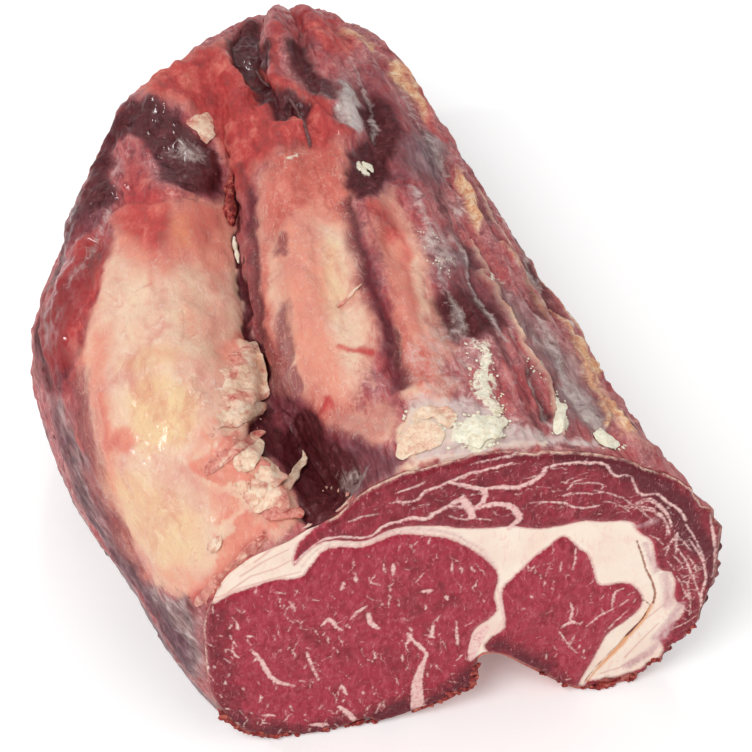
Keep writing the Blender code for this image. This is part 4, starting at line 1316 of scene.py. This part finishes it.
def face_edges():
    """The cut face's outline as columns: for each x the lowest and highest z of the form, found by halving.
    The columns stand closer together where the lower edge is steep, so that the notch's wall shears few."""
    def cross(inside, outside, at):
        for _ in range(22):
            middle = (inside + outside) / 2
            filled = roast_form(*at(middle)) < 0
            inside, outside = np.where(filled, middle, inside), np.where(filled, outside, middle)
        return inside

    sides = cross(np.zeros(2), np.array([-130.0, 130.0]), lambda x: (x, np.zeros(2), np.full(2, CORE_Z)))

    def lowest(x):
        return cross(0 * x + CORE_Z, 0 * x - 6, lambda z: (x, 0 * x, z))

    fine = np.linspace(sides[0] + 0.35, sides[1] - 0.35, 6000)
    density = 1 + np.minimum(0.45 * np.abs(np.gradient(lowest(fine), fine)), 12)
    density += 1.5 * bell(fine, sides[0], 2) + 1.5 * bell(fine, sides[1], 2)
    share = np.cumsum(density) - density[0]
    x = np.interp(np.linspace(0, share[-1], FACE_COLUMNS), share, fine)
    high = cross(0 * x + CORE_Z, 0 * x + 160, lambda z: (x, 0 * x, z))
    return x, np.maximum(lowest(x), lifted_edge(x)), high


def random_flecks(rng, outline, count, heading, spread, length, half):
    """Short wandering streaks inside an outline: each has a place, a direction, a length and a half width."""
    outline = np.array(outline)
    low, high = outline.min(0), outline.max(0)
    flecks = []
    while len(flecks) < count:
        start = rng.uniform(low, high)
        if depth_inside(start[None], outline)[0] < 2 or start[1] < 1:
            continue
        turn = math.radians(rng.normal(heading, spread))
        step = np.array([math.cos(turn), math.sin(turn)]) * rng.uniform(*length) / 3
        bends = np.cumsum(rng.normal(0, 0.35, (3, 2)) * np.linalg.norm(step) + step, axis=0)
        flecks.append((np.vstack([start, start + bends]), rng.uniform(*half)))
    return flecks


def face_fields(flat, low, high, x):
    """Fields of the face's points: millimetres of depth in the muscles, the marbling, the thin skins and the
    crack, and how deep the meat's colour, how pale the lines in the fat and how dark the rim is."""
    pixel = float(np.linalg.norm(np.diff(on_face(NEIGHBOUR_PIXELS), axis=0)))
    eye = closed_curve(on_face(EYE_MUSCLE_PIXELS), 150)
    inner = closed_curve(on_face(INNER_MUSCLE_PIXELS), 130)
    cap = closed_curve(on_face(CAP_MUSCLE_PIXELS), 190)
    in_cap = depth_inside(flat, cap)
    muscle = np.maximum(np.maximum(depth_inside(flat, eye), depth_inside(flat, inner)), in_cap)
    marbling = np.full(len(flat), FAR_OUTSIDE)
    for start, end, line in MARBLING_LINE_PIXELS:
        bent = on_face(line)
        run = np.concatenate([[0], np.cumsum(np.linalg.norm(np.diff(bent, axis=0), axis=1))])
        at = np.linspace(0, run[-1], max(5, int(run[-1] / 2.5)))
        bent = np.stack([np.interp(at, run, bent[:, axis]) for axis in (0, 1)], -1)
        taper = 0.75 if run[-1] < 9 else 0.35
        marbling = np.maximum(marbling, depth_in_line(flat, bent, start * pixel, end * pixel, taper))
    rng = np.random.default_rng(6)
    flecks = random_flecks(rng, eye, *EYE_FLECKS)
    flecks += random_flecks(rng, inner, *INNER_FLECKS)
    flecks += random_flecks(rng, on_face(CAP_BAND_PIXELS), *CAP_FLECKS)
    flecks += random_flecks(rng, on_face(RIGHT_BAND_PIXELS), *RIGHT_FLECKS)
    for line, half in flecks:
        close = (np.abs(flat - line.mean(0)) < 9).all(1)
        marbling[close] = np.maximum(marbling[close], depth_in_line(flat[close], line, half, half, 0.8))

    def deepest(table):
        depths = [
            depth_in_line(flat, on_face(line), start * pixel, end * pixel) for start, end, line in table
        ]
        return np.maximum(np.max(depths, axis=0), FAR_OUTSIDE)

    lines = np.full(len(flat), FAR_OUTSIDE)
    for line in FAT_LINE_PIXELS:
        lines = np.maximum(lines, depth_in_line(flat, on_face(line), 0.25, 0.1))
    deep = np.zeros(len(flat))
    for strength, half, line in DEEP_MEAT_PIXELS:
        depth = depth_in_line(flat, on_face(line), half * pixel)
        deep = np.maximum(deep, strength * ramp(depth, -5, 5))
    deep = np.maximum(deep, 0.85 * ramp(in_cap, 0, 2))
    outline = np.vstack([np.stack([x, low], -1), np.stack([x, high], -1)[::-1]])
    rim = depth_inside(flat, outline[::3])
    return {
        "muscle": np.clip(muscle, FAR_OUTSIDE, -FAR_OUTSIDE),
        "marbling": marbling,
        "membrane": deepest(MEMBRANE_LINE_PIXELS),
        "crack": deepest(CRACK_LINE_PIXELS),
        "split": deepest(SPLIT_LINE_PIXELS),
        "fat_lines": ramp(lines, -0.5, 0.1),
        "deep": deep,
        "rim": np.clip(rim, -1, 6),
        "low_rim": np.maximum(1 - ramp(flat[:, 1], 14, 34), 0.8 * ramp(flat[:, 0], 84, 94)),
    }


def make_face():
    """The cut face as a slab: columns between the outline's lower and upper edge. Its front bulges over the
    muscles, sinks at the fat's edges, the marbling and the crack, and turns back at the rim."""
    x, low, high = face_x, face_low, face_high
    row = np.stack([x, 0 * x, 0 * x], -1)
    rough_edge = value_noise(row, 6.5, 5) + 0.5 * value_noise(row, 2.3, 8)
    bites = 2.4 * ramp(value_noise(row, 8.5, 15), 0.1, 0.75) + 1.2 * ramp(value_noise(row, 3.1, 16), 0.2, 0.8)
    low = low + 0.5 * np.abs(rough_edge) + bites * (low < 2) + 0.25
    high = high - 0.3 + 0.35 * rough_edge - 1.3 * ramp(value_noise(row, 11, 21), 0.3, 0.6)
    share = np.linspace(0, 1, FACE_ROWS)[:, None]
    waist = np.clip(0.5 * (low + high), 42, 52)
    lower = low + (waist - low) * share / WAIST_SHARE
    upper = waist + (high - waist) * (share - WAIST_SHARE) / (1 - WAIST_SHARE)
    z = np.where(share < WAIST_SHARE, lower, upper)
    flat = np.stack([np.broadcast_to(x, z.shape), z], -1).reshape(-1, 2)
    fields = face_fields(flat, low, high, x)
    spots = np.stack([flat[:, 0], 0 * flat[:, 0], flat[:, 1]], -1)
    swell = 0.9 * ramp(fields["muscle"], -0.8, 2.5) + 0.5 * fractal(spots, 26, 51, 2)
    fine = 0.16 * fractal(spots, 2.4, 61, 3) * ramp(fields["muscle"], -0.3, 0.6)
    grooves = 0.3 * ramp(fields["marbling"], -0.4, 0.3) * ramp(fields["muscle"], 0, 1)
    grooves = grooves + 0.3 * ramp(fields["crack"], -0.5, 0.5) + 0.5 * ramp(fields["split"], -0.3, 1.1)
    grooves = grooves + 0.25 * ramp(fields["membrane"], -0.4, 0.4)
    turned = 1.6 * (1 - ramp(fields["rim"], -0.2, 1.8))
    front = -0.9 - swell - fine + grooves + turned
    points = np.stack([flat[:, 0], front, flat[:, 1]], -1)
    rows, columns = FACE_ROWS, FACE_COLUMNS
    count = rows * columns
    from_middle = x - x[[0, -1]].mean()
    inward = -SIDE_INSET * np.sign(from_middle) * (np.abs(from_middle) > 60)
    back_low = np.stack([x + inward, 0 * x + SLAB_DEPTH, np.minimum(low + EDGE_INSET, CORE_Z - 4)], -1)
    back_high = np.stack([x + inward, 0 * x + SLAB_DEPTH, np.maximum(high - EDGE_INSET, CORE_Z + 4)], -1)
    vertices = np.vstack([points, back_low, back_high])
    column = np.arange(columns - 1)
    below = count + column
    above = below + columns
    under = np.stack([column, column + 1, below + 1, below], -1)
    top = (rows - 1) * columns + column
    over = np.stack([top + 1, top, above, above + 1], -1)
    behind = np.stack([above, above + 1, below + 1, below], -1)
    up = np.arange(rows) * columns
    left = np.concatenate([up, [count + columns, count]])[::-1][None]
    right = np.concatenate([up + columns - 1, [count + 2 * columns - 1, count + columns - 1]])[None]
    faces = [grid_faces(rows, columns), under, over, behind, left, right]
    padded = {name: np.concatenate([values, np.zeros(2 * columns)]) for name, values in fields.items()}
    padded["low_rim"][count:] = np.tile(inward != 0, 2)
    return mesh_piece("cut_face", vertices, faces, FACE, padded, 50)


face_x, face_low, face_high = face_edges()
face = make_face()
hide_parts("eye_muscle")


# Flaps, flakes and scraps that stand on the skin

VISIBLE_SKIN = facing(skin_base, skin_normals) > 0.03
SKIN_PLACES = skin_points[VISIBLE_SKIN]
SKIN_DIRECTIONS = skin_normals[VISIBLE_SKIN]
SKIN_PIXELS = in_picture(SKIN_PLACES)

# Smoothing, in pixels, of the skin under strands and scattered bits
SCRAP_SMOOTH = 2.0
# Scattered bits: height over width, share of the height that is sunk into the skin, and warmth
BIT_FLATNESS = 0.5
BIT_SINK = 0.2
BIT_WARMTH = 0.5
# Lumps on the notch's wall: how many, and their size in millimetres
WALL_LUMPS = 26
WALL_LUMP_SIZE = 1.25


def on_skin(pixels, smooth):
    """Places on the skin under pixels and the skin's outward directions there: means of the visible skin
    about each, weighted by a bell over the distance in pixels."""
    low, high = pixels.min(0) - 4 * smooth, pixels.max(0) + 4 * smooth
    near = ((SKIN_PIXELS > low) & (SKIN_PIXELS < high)).all(1).nonzero()[0]
    near = near[:: max(1, len(near) // 6000)]
    gap = ((pixels[:, None] - SKIN_PIXELS[near][None]) ** 2).sum(-1)
    weight = np.exp(-gap / (2 * smooth**2)) + 1e-12
    weight /= weight.sum(1, keepdims=True)
    direction = weight @ SKIN_DIRECTIONS[near]
    return weight @ SKIN_PLACES[near], direction / np.linalg.norm(direction, axis=1, keepdims=True)


def joined(shells):
    """Points, faces and the warmth field of several closed shells as one."""
    points, faces, warmth, start = [], [], [], 0
    for shell_points, shell_faces, shell_warmth in shells:
        points.append(shell_points)
        faces += [corners + start for corners in shell_faces]
        warmth.append(shell_warmth)
        start += len(shell_points)
    quads = [corners for corners in faces if corners.shape[1] == 4]
    threes = [corners for corners in faces if corners.shape[1] == 3]
    return np.vstack(points), [np.vstack(quads), np.vstack(threes)], {"warmth": np.concatenate(warmth)}


def closed_rings(rings):
    """Faces of rings of equal length that follow one another, closed over each end by a fan to one more
    point. The points are all rings, then the first end's and the last end's."""
    count, around = rings
    turn = np.arange(around)
    following = (turn + 1) % around
    total = count * around
    first = np.stack([following, turn, np.full(around, total)], -1)
    last = np.stack([turn, following, np.full(around, total + 1)], -1) + [[(count - 1) * around] * 2 + [0]]
    return [grid_faces(count, around, wrap=True), first, last]


def flap(outline, thickness, lift, curl, lean, warmth, seed, smooth):
    """One flap on the skin. Rings run from its middle over the top to its ragged edge and back below. Halfway
    through it stands lift + curl r^2 + lean (of place) above the skin, and its top and its underside are half
    of thickness (1 - r^4)^(1/2) from there. r is 0 in the middle and 1 at the edge. Noise roughens top and
    edge."""
    ring = closed_curve(outline, 76)
    area = (ring[:, 0] * np.roll(ring[:, 1], -1) - np.roll(ring[:, 0], -1) * ring[:, 1]).sum()
    ring = ring if area > 0 else ring[::-1]
    middle = ring.mean(0)
    run = np.linspace(0, 2, 2 * FLAP_RINGS + 1)[1:-1]
    r = np.where(run < 1, run, 2 - run)[:, None]
    side = np.sign(1 - run)[:, None]
    pixels = middle + r[..., None] * (ring - middle)
    flat = pixels.reshape(-1, 2)
    ragged = np.concatenate([flat, np.full((len(flat), 1), seed * 37.0)], -1)
    wander = np.stack([fractal(ragged, 10, seed, 4), fractal(ragged, 10, seed + 9, 4)], -1)
    flat = flat + 2.6 * wander * np.repeat(r[:, 0], len(ring))[:, None] ** 2
    flat = np.vstack([flat, middle, middle])
    share = np.concatenate([np.repeat(r[:, 0], len(ring)), [0, 0]])
    over = np.concatenate([np.repeat(side[:, 0], len(ring)), [1, -1]])
    place_on, direction = on_skin(flat, smooth)
    reach = np.abs(ring - middle).max()
    tilt = ((flat - middle) / reach) @ np.array(lean)
    rough = 0.35 * thickness * fractal(place_on, (3.5, 5, 3.5), seed + 3, 3) * (over > 0)
    half = 0.5 * thickness * np.sqrt(np.clip(1 - share**4, 0, 1))
    height = lift + curl * share**2 + tilt + over * half + rough
    points = place_on + direction * height[:, None]
    glow = np.clip(warmth + 0.35 * (share - 0.6), 0, 1)
    return points, closed_rings((len(run), len(ring))), glow


def strand(line, radius, lift, warmth, seed, flatness):
    """A tapering strand along a line on the skin: rings of 10 points whose radius swells and thins."""
    line = np.array(line, float)
    run = np.concatenate([[0], np.cumsum(np.linalg.norm(np.diff(line, axis=0), axis=1))])
    at = np.linspace(0, run[-1], 44)
    bends = np.stack([along(at, *zip(run, line[:, axis])) for axis in (0, 1)], -1)
    centre, direction = on_skin(bends, SCRAP_SMOOTH)
    heading = np.gradient(centre, axis=0)
    heading /= np.linalg.norm(heading, axis=1, keepdims=True)
    across = np.cross(direction, heading)
    across /= np.linalg.norm(across, axis=1, keepdims=True)
    t = at / run[-1]
    wide = radius * np.sqrt(np.clip(1 - (2 * t - 1) ** 4, 0.02, 1)) * (1 + 0.2 * np.sin(t * 17 + seed))
    turn = np.linspace(0, 2 * math.pi, 10, endpoint=False)
    ring = across[:, None] * np.cos(turn)[None, :, None]
    ring = ring + direction[:, None] * (flatness * np.sin(turn))[None, :, None]
    points = (centre + direction * lift)[:, None] + wide[:, None, None] * ring
    points = points.reshape(-1, 3)
    points += 0.25 * radius * np.stack([fractal(points, 3, seed + k, 2) for k in range(3)], -1)
    ends = centre[[0, -1]] + direction[[0, -1]] * lift
    return np.vstack([points, ends]), closed_rings((len(at), len(turn))), np.full(len(points) + 2, warmth)


def lumps(centres, radii, turns, warmth, seed, rough=0.45):
    """Many small closed lumps: balls of rings, stretched by their radii, turned, and roughened by noise."""
    up = np.linspace(0, math.pi, LUMP_RINGS + 2)[1:-1, None]
    turn = np.linspace(0, 2 * math.pi, LUMP_POINTS, endpoint=False)
    unit = np.stack([np.sin(up) * np.cos(turn), np.sin(up) * np.sin(turn), np.cos(up) + 0 * turn], -1)
    unit = np.vstack([unit.reshape(-1, 3), [[0, 0, 1], [0, 0, -1]]])
    faces = closed_rings((LUMP_RINGS, LUMP_POINTS))
    shells = []
    for k, (centre, radius, matrix) in enumerate(zip(centres, radii, turns)):
        swell = 1 + rough * fractal(unit + 7.3 * k, 0.9, seed, 2)
        points = centre + (unit * swell[:, None] * radius) @ matrix.T
        shells.append((points, faces, np.full(len(unit), warmth[k])))
    return shells


def scattered(rng, outline, count, size):
    """Lumps strewn on the skin inside an outline of pixels, flatter along the skin's direction."""
    outline = np.array(outline, float)
    spots = []
    while len(spots) < count:
        spot = rng.uniform(outline.min(0), outline.max(0))
        if depth_inside(spot[None], outline)[0] > 0:
            spots.append(spot)
    centre, direction = on_skin(np.array(spots), SCRAP_SMOOTH)
    width = rng.uniform(*size, count)
    radii = np.stack([width * rng.uniform(0.6, 1.5, count), width, width * BIT_FLATNESS], -1)
    spin = rng.uniform(0, math.pi, count)
    helper = np.stack([np.cos(spin), np.sin(spin), 0.3 * np.sin(3 * spin)], -1)
    side = np.cross(direction, helper)
    side /= np.linalg.norm(side, axis=1, keepdims=True)
    lean = direction + 0.35 * rng.normal(size=(count, 3))
    lean /= np.linalg.norm(lean, axis=1, keepdims=True)
    side = side - (side * lean).sum(1, keepdims=True) * lean
    side /= np.linalg.norm(side, axis=1, keepdims=True)
    turns = np.stack([side, np.cross(lean, side), lean], -1)
    centre = centre + direction * (width * BIT_FLATNESS * (1 - 2 * BIT_SINK))[:, None]
    return lumps(centre, radii, turns, BIT_WARMTH + rng.uniform(-0.25, 0.25, count), int(rng.integers(900)))


# Flaps: thickness, lift, curl and lean in millimetres, warmth, smoothing in pixels, and the outline
PALE_FLAP_PIXELS = (
    (1.6, -0.1, 0.0, (2.1, 0.2), 0.5, 2.2, ((222, 352), (238, 351), (246, 344), (256, 342), (263, 352),
        (268, 370), (270, 390), (264, 403), (250, 408), (236, 414), (218, 416), (206, 412), (204, 392),
        (208, 370))),
    (1.0, 0.0, 0.2, (1.3, 0.5), 0.3, 2.2, ((214, 408), (232, 410), (250, 404), (262, 402), (266, 408),
        (258, 418), (244, 421), (236, 428), (222, 429), (212, 438), (202, 440), (204, 424))),
    (1.0, 0.1, 0.1, (1.4, 0.1), 0.1, 2.5, ((228, 450), (240, 443), (256, 442), (264, 450), (260, 462),
        (250, 470), (238, 472), (228, 464))),
    (1.0, 0.2, 0.2, (1.6, 0.3), 0.2, 3.0, ((254, 458), (264, 456), (274, 462), (280, 472), (284, 482),
        (276, 490), (264, 490), (254, 480))),
    (0.8, 0.7, 0.2, (1.0, -0.8), 0.15, 4.0, ((276, 484), (284, 480), (292, 470), (298, 462), (304, 453),
        (307, 454), (306, 466), (300, 474), (296, 484), (288, 492), (278, 492))),
    (1.0, 0.3, 0.3, (1.5, 0.4), 0.42, 4.0, ((236, 476), (254, 478), (268, 484), (280, 490), (288, 498),
        (292, 508), (286, 514), (270, 508), (256, 512), (240, 498))),
    (0.8, 0.1, 0.1, (0.2, 0.4), 0.3, 3.0, ((186, 121), (198, 114), (208, 113), (212, 124), (215, 136),
        (206, 145), (199, 134))),
    (1.2, 0.3, 0.1, (0.0, 0.2), -0.35, 1.8, ((398, 452), (402, 438), (412, 424), (424, 418), (438, 422),
        (446, 434), (440, 446), (426, 452), (414, 456), (404, 461))),
    (1.0, 0.2, 0.1, (0.0, 0.2), 0.1, 1.8, ((410, 418), (420, 408), (436, 405), (452, 408), (458, 418),
        (450, 428), (432, 420), (420, 424))),
    (0.6, 0.2, 0.2, (0.6, 0.2), 0.3, 3.0, ((206, 548), (216, 538), (224, 536), (222, 544), (212, 554))),
)
BLED_FLAP_PIXELS = (
    (0.9, 0.2, 0.2, (0.8, 0.5), 0.25, 2.5, ((206, 464), (216, 452), (232, 446), (246, 436), (258, 430),
        (264, 434), (254, 444), (240, 452), (228, 462), (214, 472), (202, 474))),
    (1.8, 0.9, 0.4, (1.0, 0.0), 0.6, 4.0, ((262, 512), (276, 508), (288, 509), (298, 512), (306, 517),
        (300, 521), (284, 522), (268, 521))),
    (0.8, 0.1, 0.2, (0.0, 0.0), 0.5, 3.0, ((196, 604), (206, 588), (222, 572), (240, 554), (258, 540),
        (266, 536), (268, 541), (254, 556), (236, 573), (220, 588), (206, 604))),
)
CRUMB_FLAP_PIXELS = (
    (1.0, 0.6, 0.1, (0.3, 0.4), 0.5, 1.6, ((453, 440), (458, 428), (470, 422), (482, 417), (494, 419),
        (504, 418), (508, 424), (502, 432), (504, 440), (488, 442), (478, 449), (464, 446))),
    (0.7, 0.4, 0.1, (0.0, 0.0), 0.5, 1.6, ((554, 398), (560, 402), (567, 408), (564, 422), (560, 434),
        (552, 430), (556, 412))),
    (0.9, 0.5, 0.1, (0.0, 0.0), 0.5, 3.0, ((360, 161), (368, 163), (371, 170), (363, 169))),
    (0.6, 0.4, 0.1, (0.0, 0.0), 0.5, 1.6, ((592, 436), (602, 432), (614, 440), (620, 446), (604, 448))),
)
# Strands: radius, lift, warmth, flatness and the line
BLED_STRAND_PIXELS = (
    (0.7, 0.3, 0.1, 0.6, ((337, 308), (346, 301), (354, 292), (362, 284))),
    (0.5, 0.3, 0.6, 0.6, ((206, 476), (222, 466), (238, 452), (250, 440))),
)
FLESH_STRAND_PIXELS = (
    (2.6, 1.6, 1.0, 0.9, ((234, 176), (232, 190), (231, 206), (231, 218), (233, 229))),
)
CRUMB_STRAND_PIXELS = (
    (0.9, 0.8, 0.5, 1.0, ((234, 238), (236, 250), (239, 265))),
)
SINEW_STRAND_PIXELS = (
    (0.8, 0.9, 0.5, 1.0, ((288, 98), (296, 110), (304, 128), (311, 150))),
    (0.7, 0.6, 0.5, 1.0, ((256, 72), (262, 82), (270, 88))),
)
# Scattered bits: how many, their least and greatest half width in millimetres, and the outline
PALE_BIT_PIXELS = (
    (16, (0.3, 0.7), ((215, 400), (262, 400), (262, 450), (298, 500), (262, 530), (212, 500))),
    (6, (0.4, 0.8), ((318, 484), (346, 484), (350, 496), (322, 498))),
)
BLED_BIT_PIXELS = (
    (24, (0.5, 1.1), ((196, 604), (262, 530), (272, 536), (206, 608))),
)
CRUMB_BIT_PIXELS = (
    (70, (0.3, 0.9), ((452, 412), (506, 408), (512, 430), (500, 446), (455, 448))),
    (60, (0.2, 0.6), ((466, 340), (486, 342), (500, 380), (512, 418), (490, 420), (470, 384))),
    (20, (0.3, 0.7), ((398, 406), (456, 404), (460, 446), (400, 460))),
    (20, (0.25, 0.6), ((550, 386), (568, 400), (566, 440), (552, 436))),
    (24, (0.25, 0.6), ((590, 428), (606, 428), (632, 450), (600, 450))),
    (30, (0.2, 0.45), ((416, 228), (440, 232), (462, 262), (448, 280), (426, 262))),
    (24, (0.2, 0.45), ((520, 350), (532, 348), (556, 392), (548, 396))),
)


def scraps(seed, flaps=(), strands=(), bits=()):
    """Closed shells of one finish, from its tables."""
    rng = np.random.default_rng(seed)
    shells = []
    for k, (thickness, lift, curl, lean, warmth, smooth, outline) in enumerate(flaps):
        shells.append(flap(outline, thickness, lift, curl, lean, warmth, seed + k, smooth))
    for k, (radius, lift, warmth, flatness, line) in enumerate(strands):
        shells.append(strand(line, radius, lift, warmth, seed + k, flatness))
    for count, size, outline in bits:
        shells += scattered(rng, outline, count, size)
    return shells


def ragged_trim(x, low):
    """Crumbs of dry flesh along the cut's lower edge and down the notch's wall: lumps in clusters. A cluster
    has the x of its middle, its spread, how many lumps there are and their size."""
    rng = np.random.default_rng(5)
    steepest = np.argmax(np.gradient(low))
    wall = x[steepest]
    clusters = (
        (x[0] + 16, 9, 44, 1.6), (x[0] + 40, 14, 26, 1.2), (wall - 50, 16, 20, 1.0),
        (wall - 10, 7, 50, 1.7), (wall + 34, 10, 24, 1.1), (x[-1] - 26, 14, 40, 1.3),
    )
    spots_x = np.concatenate([rng.normal(middle, spread, count) for middle, spread, count, _ in clusters])
    size = np.concatenate([np.full(count, size) for _, _, count, size in clusters])
    spots_x = np.clip(spots_x, x[0] + 4, x[-1] - 6)
    spots_x = np.where(np.abs(spots_x - wall - 9) < 9, wall - 2, spots_x)
    spots_z = np.maximum(np.interp(spots_x, x, low), 0) + rng.uniform(0.4, 2.2, len(spots_x))
    down_wall = rng.uniform(low[steepest - 8] + 1, 24, WALL_LUMPS)
    spots_x = np.concatenate([spots_x, wall - 1.4 + rng.uniform(-1, 0.9, WALL_LUMPS)])
    spots_z = np.concatenate([spots_z, down_wall])
    size = np.concatenate([size, np.full(WALL_LUMPS, WALL_LUMP_SIZE)])
    count = len(spots_x)
    centres = np.stack([spots_x, rng.uniform(-1.0, 1.2, count), np.maximum(spots_z, 0.8)], -1)
    width = size * rng.uniform(0.6, 1.25, count)
    wide, high = width * rng.uniform(0.9, 1.5, count), width * rng.uniform(0.6, 0.95, count)
    radii = np.stack([wide, width * 0.9, high], -1)
    tilt = rng.normal(0, 0.6, count)
    turns = np.zeros((count, 3, 3))
    turns[:, 0, 0] = turns[:, 2, 2] = np.cos(tilt)
    turns[:, 0, 2], turns[:, 2, 0] = -np.sin(tilt), np.sin(tilt)
    turns[:, 1, 1] = 1
    return lumps(centres, radii, turns, rng.uniform(0, 1, count), 77, 0.4)


def scrap_piece(name, shells, material):
    """Shells as one piece, kept above the floor."""
    points, faces, warmth = joined(shells)
    points[:, 2] = np.maximum(points[:, 2], 0.0)
    return mesh_piece(name, points, faces, material, warmth)


scrap_piece("torn_fat", scraps(2, PALE_FLAP_PIXELS, bits=PALE_BIT_PIXELS), TORN_FAT)
scrap_piece("bled_fat", scraps(11, BLED_FLAP_PIXELS, BLED_STRAND_PIXELS, BLED_BIT_PIXELS), BLED_FAT)
scrap_piece("mould_crumbs", scraps(21, CRUMB_FLAP_PIXELS, CRUMB_STRAND_PIXELS, CRUMB_BIT_PIXELS), CRUMB)
scrap_piece("sinews", scraps(31, strands=SINEW_STRAND_PIXELS), SINEW)
flesh = ragged_trim(face_x, face_low) + scraps(15, strands=FLESH_STRAND_PIXELS)
scrap_piece("ragged_flesh", flesh, DRY_FLESH)


# The floor, the light and the camera

def floor_and_light():
    """A pale floor, a large soft key from the upper left, wide fills from the right and from above, two small
    lights for gloss, and a white world."""
    mesh = bpy.data.meshes.new("floor")
    size = 4.0
    corners = [(-size, -size, 0), (size, -size, 0), (size, size, 0), (-size, size, 0)]
    mesh.from_pydata(corners, [], [(0, 1, 2, 3)])
    floor = bpy.data.objects.new("floor", mesh)
    bpy.context.scene.collection.objects.link(floor)
    paper = bpy.data.materials.new("floor_paper")
    paper.use_nodes = True
    shader = paper.node_tree.nodes["Principled BSDF"]
    shader.inputs["Base Color"].default_value = (0.94, 0.94, 0.94, 1)
    shader.inputs["Roughness"].default_value = 0.9
    shader.inputs["Emission Color"].default_value = (1, 1, 1, 1)
    shader.inputs["Emission Strength"].default_value = 0.16
    mesh.materials.append(paper)
    world = bpy.data.worlds.new("studio")
    world.use_nodes = True
    sky = world.node_tree.nodes["Background"]
    sky.inputs["Color"].default_value = (1.0, 1.0, 1.0, 1)
    sky.inputs["Strength"].default_value = 0.36
    bpy.context.scene.world = world
    lights = (
        ("key", (-0.75, -0.85, 1.35), 0.8, 15.0),
        ("fill", (1.0, -0.95, 0.8), 1.3, 6.0),
        ("top", (0.1, 0.5, 1.7), 1.2, 6.0),
        ("left_spark", (-1.3, 0.25, 0.75), 0.12, 3.2),
        ("back_spark", (0.1, 1.3, 1.3), 0.12, 2.6),
    )
    for name, spot, width, power in lights:
        data = bpy.data.lights.new(name, "AREA")
        data.shape = "SQUARE"
        data.size = width
        data.energy = power
        lamp = bpy.data.objects.new(name, data)
        lamp.location = spot
        lamp.rotation_euler = (Vector((0, 0, 0.06)) - Vector(spot)).to_track_quat("-Z", "Y").to_euler()
        bpy.context.scene.collection.objects.link(lamp)


def place_camera():
    data = bpy.data.cameras.new("camera")
    data.sensor_width = SENSOR
    data.lens = SENSOR * FOCAL_PIXELS / PICTURE
    data.clip_end = 20
    camera = bpy.data.objects.new("camera", data)
    turn = Matrix((RIGHT, UP, BACK)).transposed().to_4x4()
    camera.matrix_world = Matrix.Translation(in_frame(EYE_POINT)) @ turn
    bpy.context.scene.collection.objects.link(camera)
    bpy.context.scene.camera = camera


floor_and_light()
place_camera()
bpy.context.scene.view_settings.view_transform = "Standard"
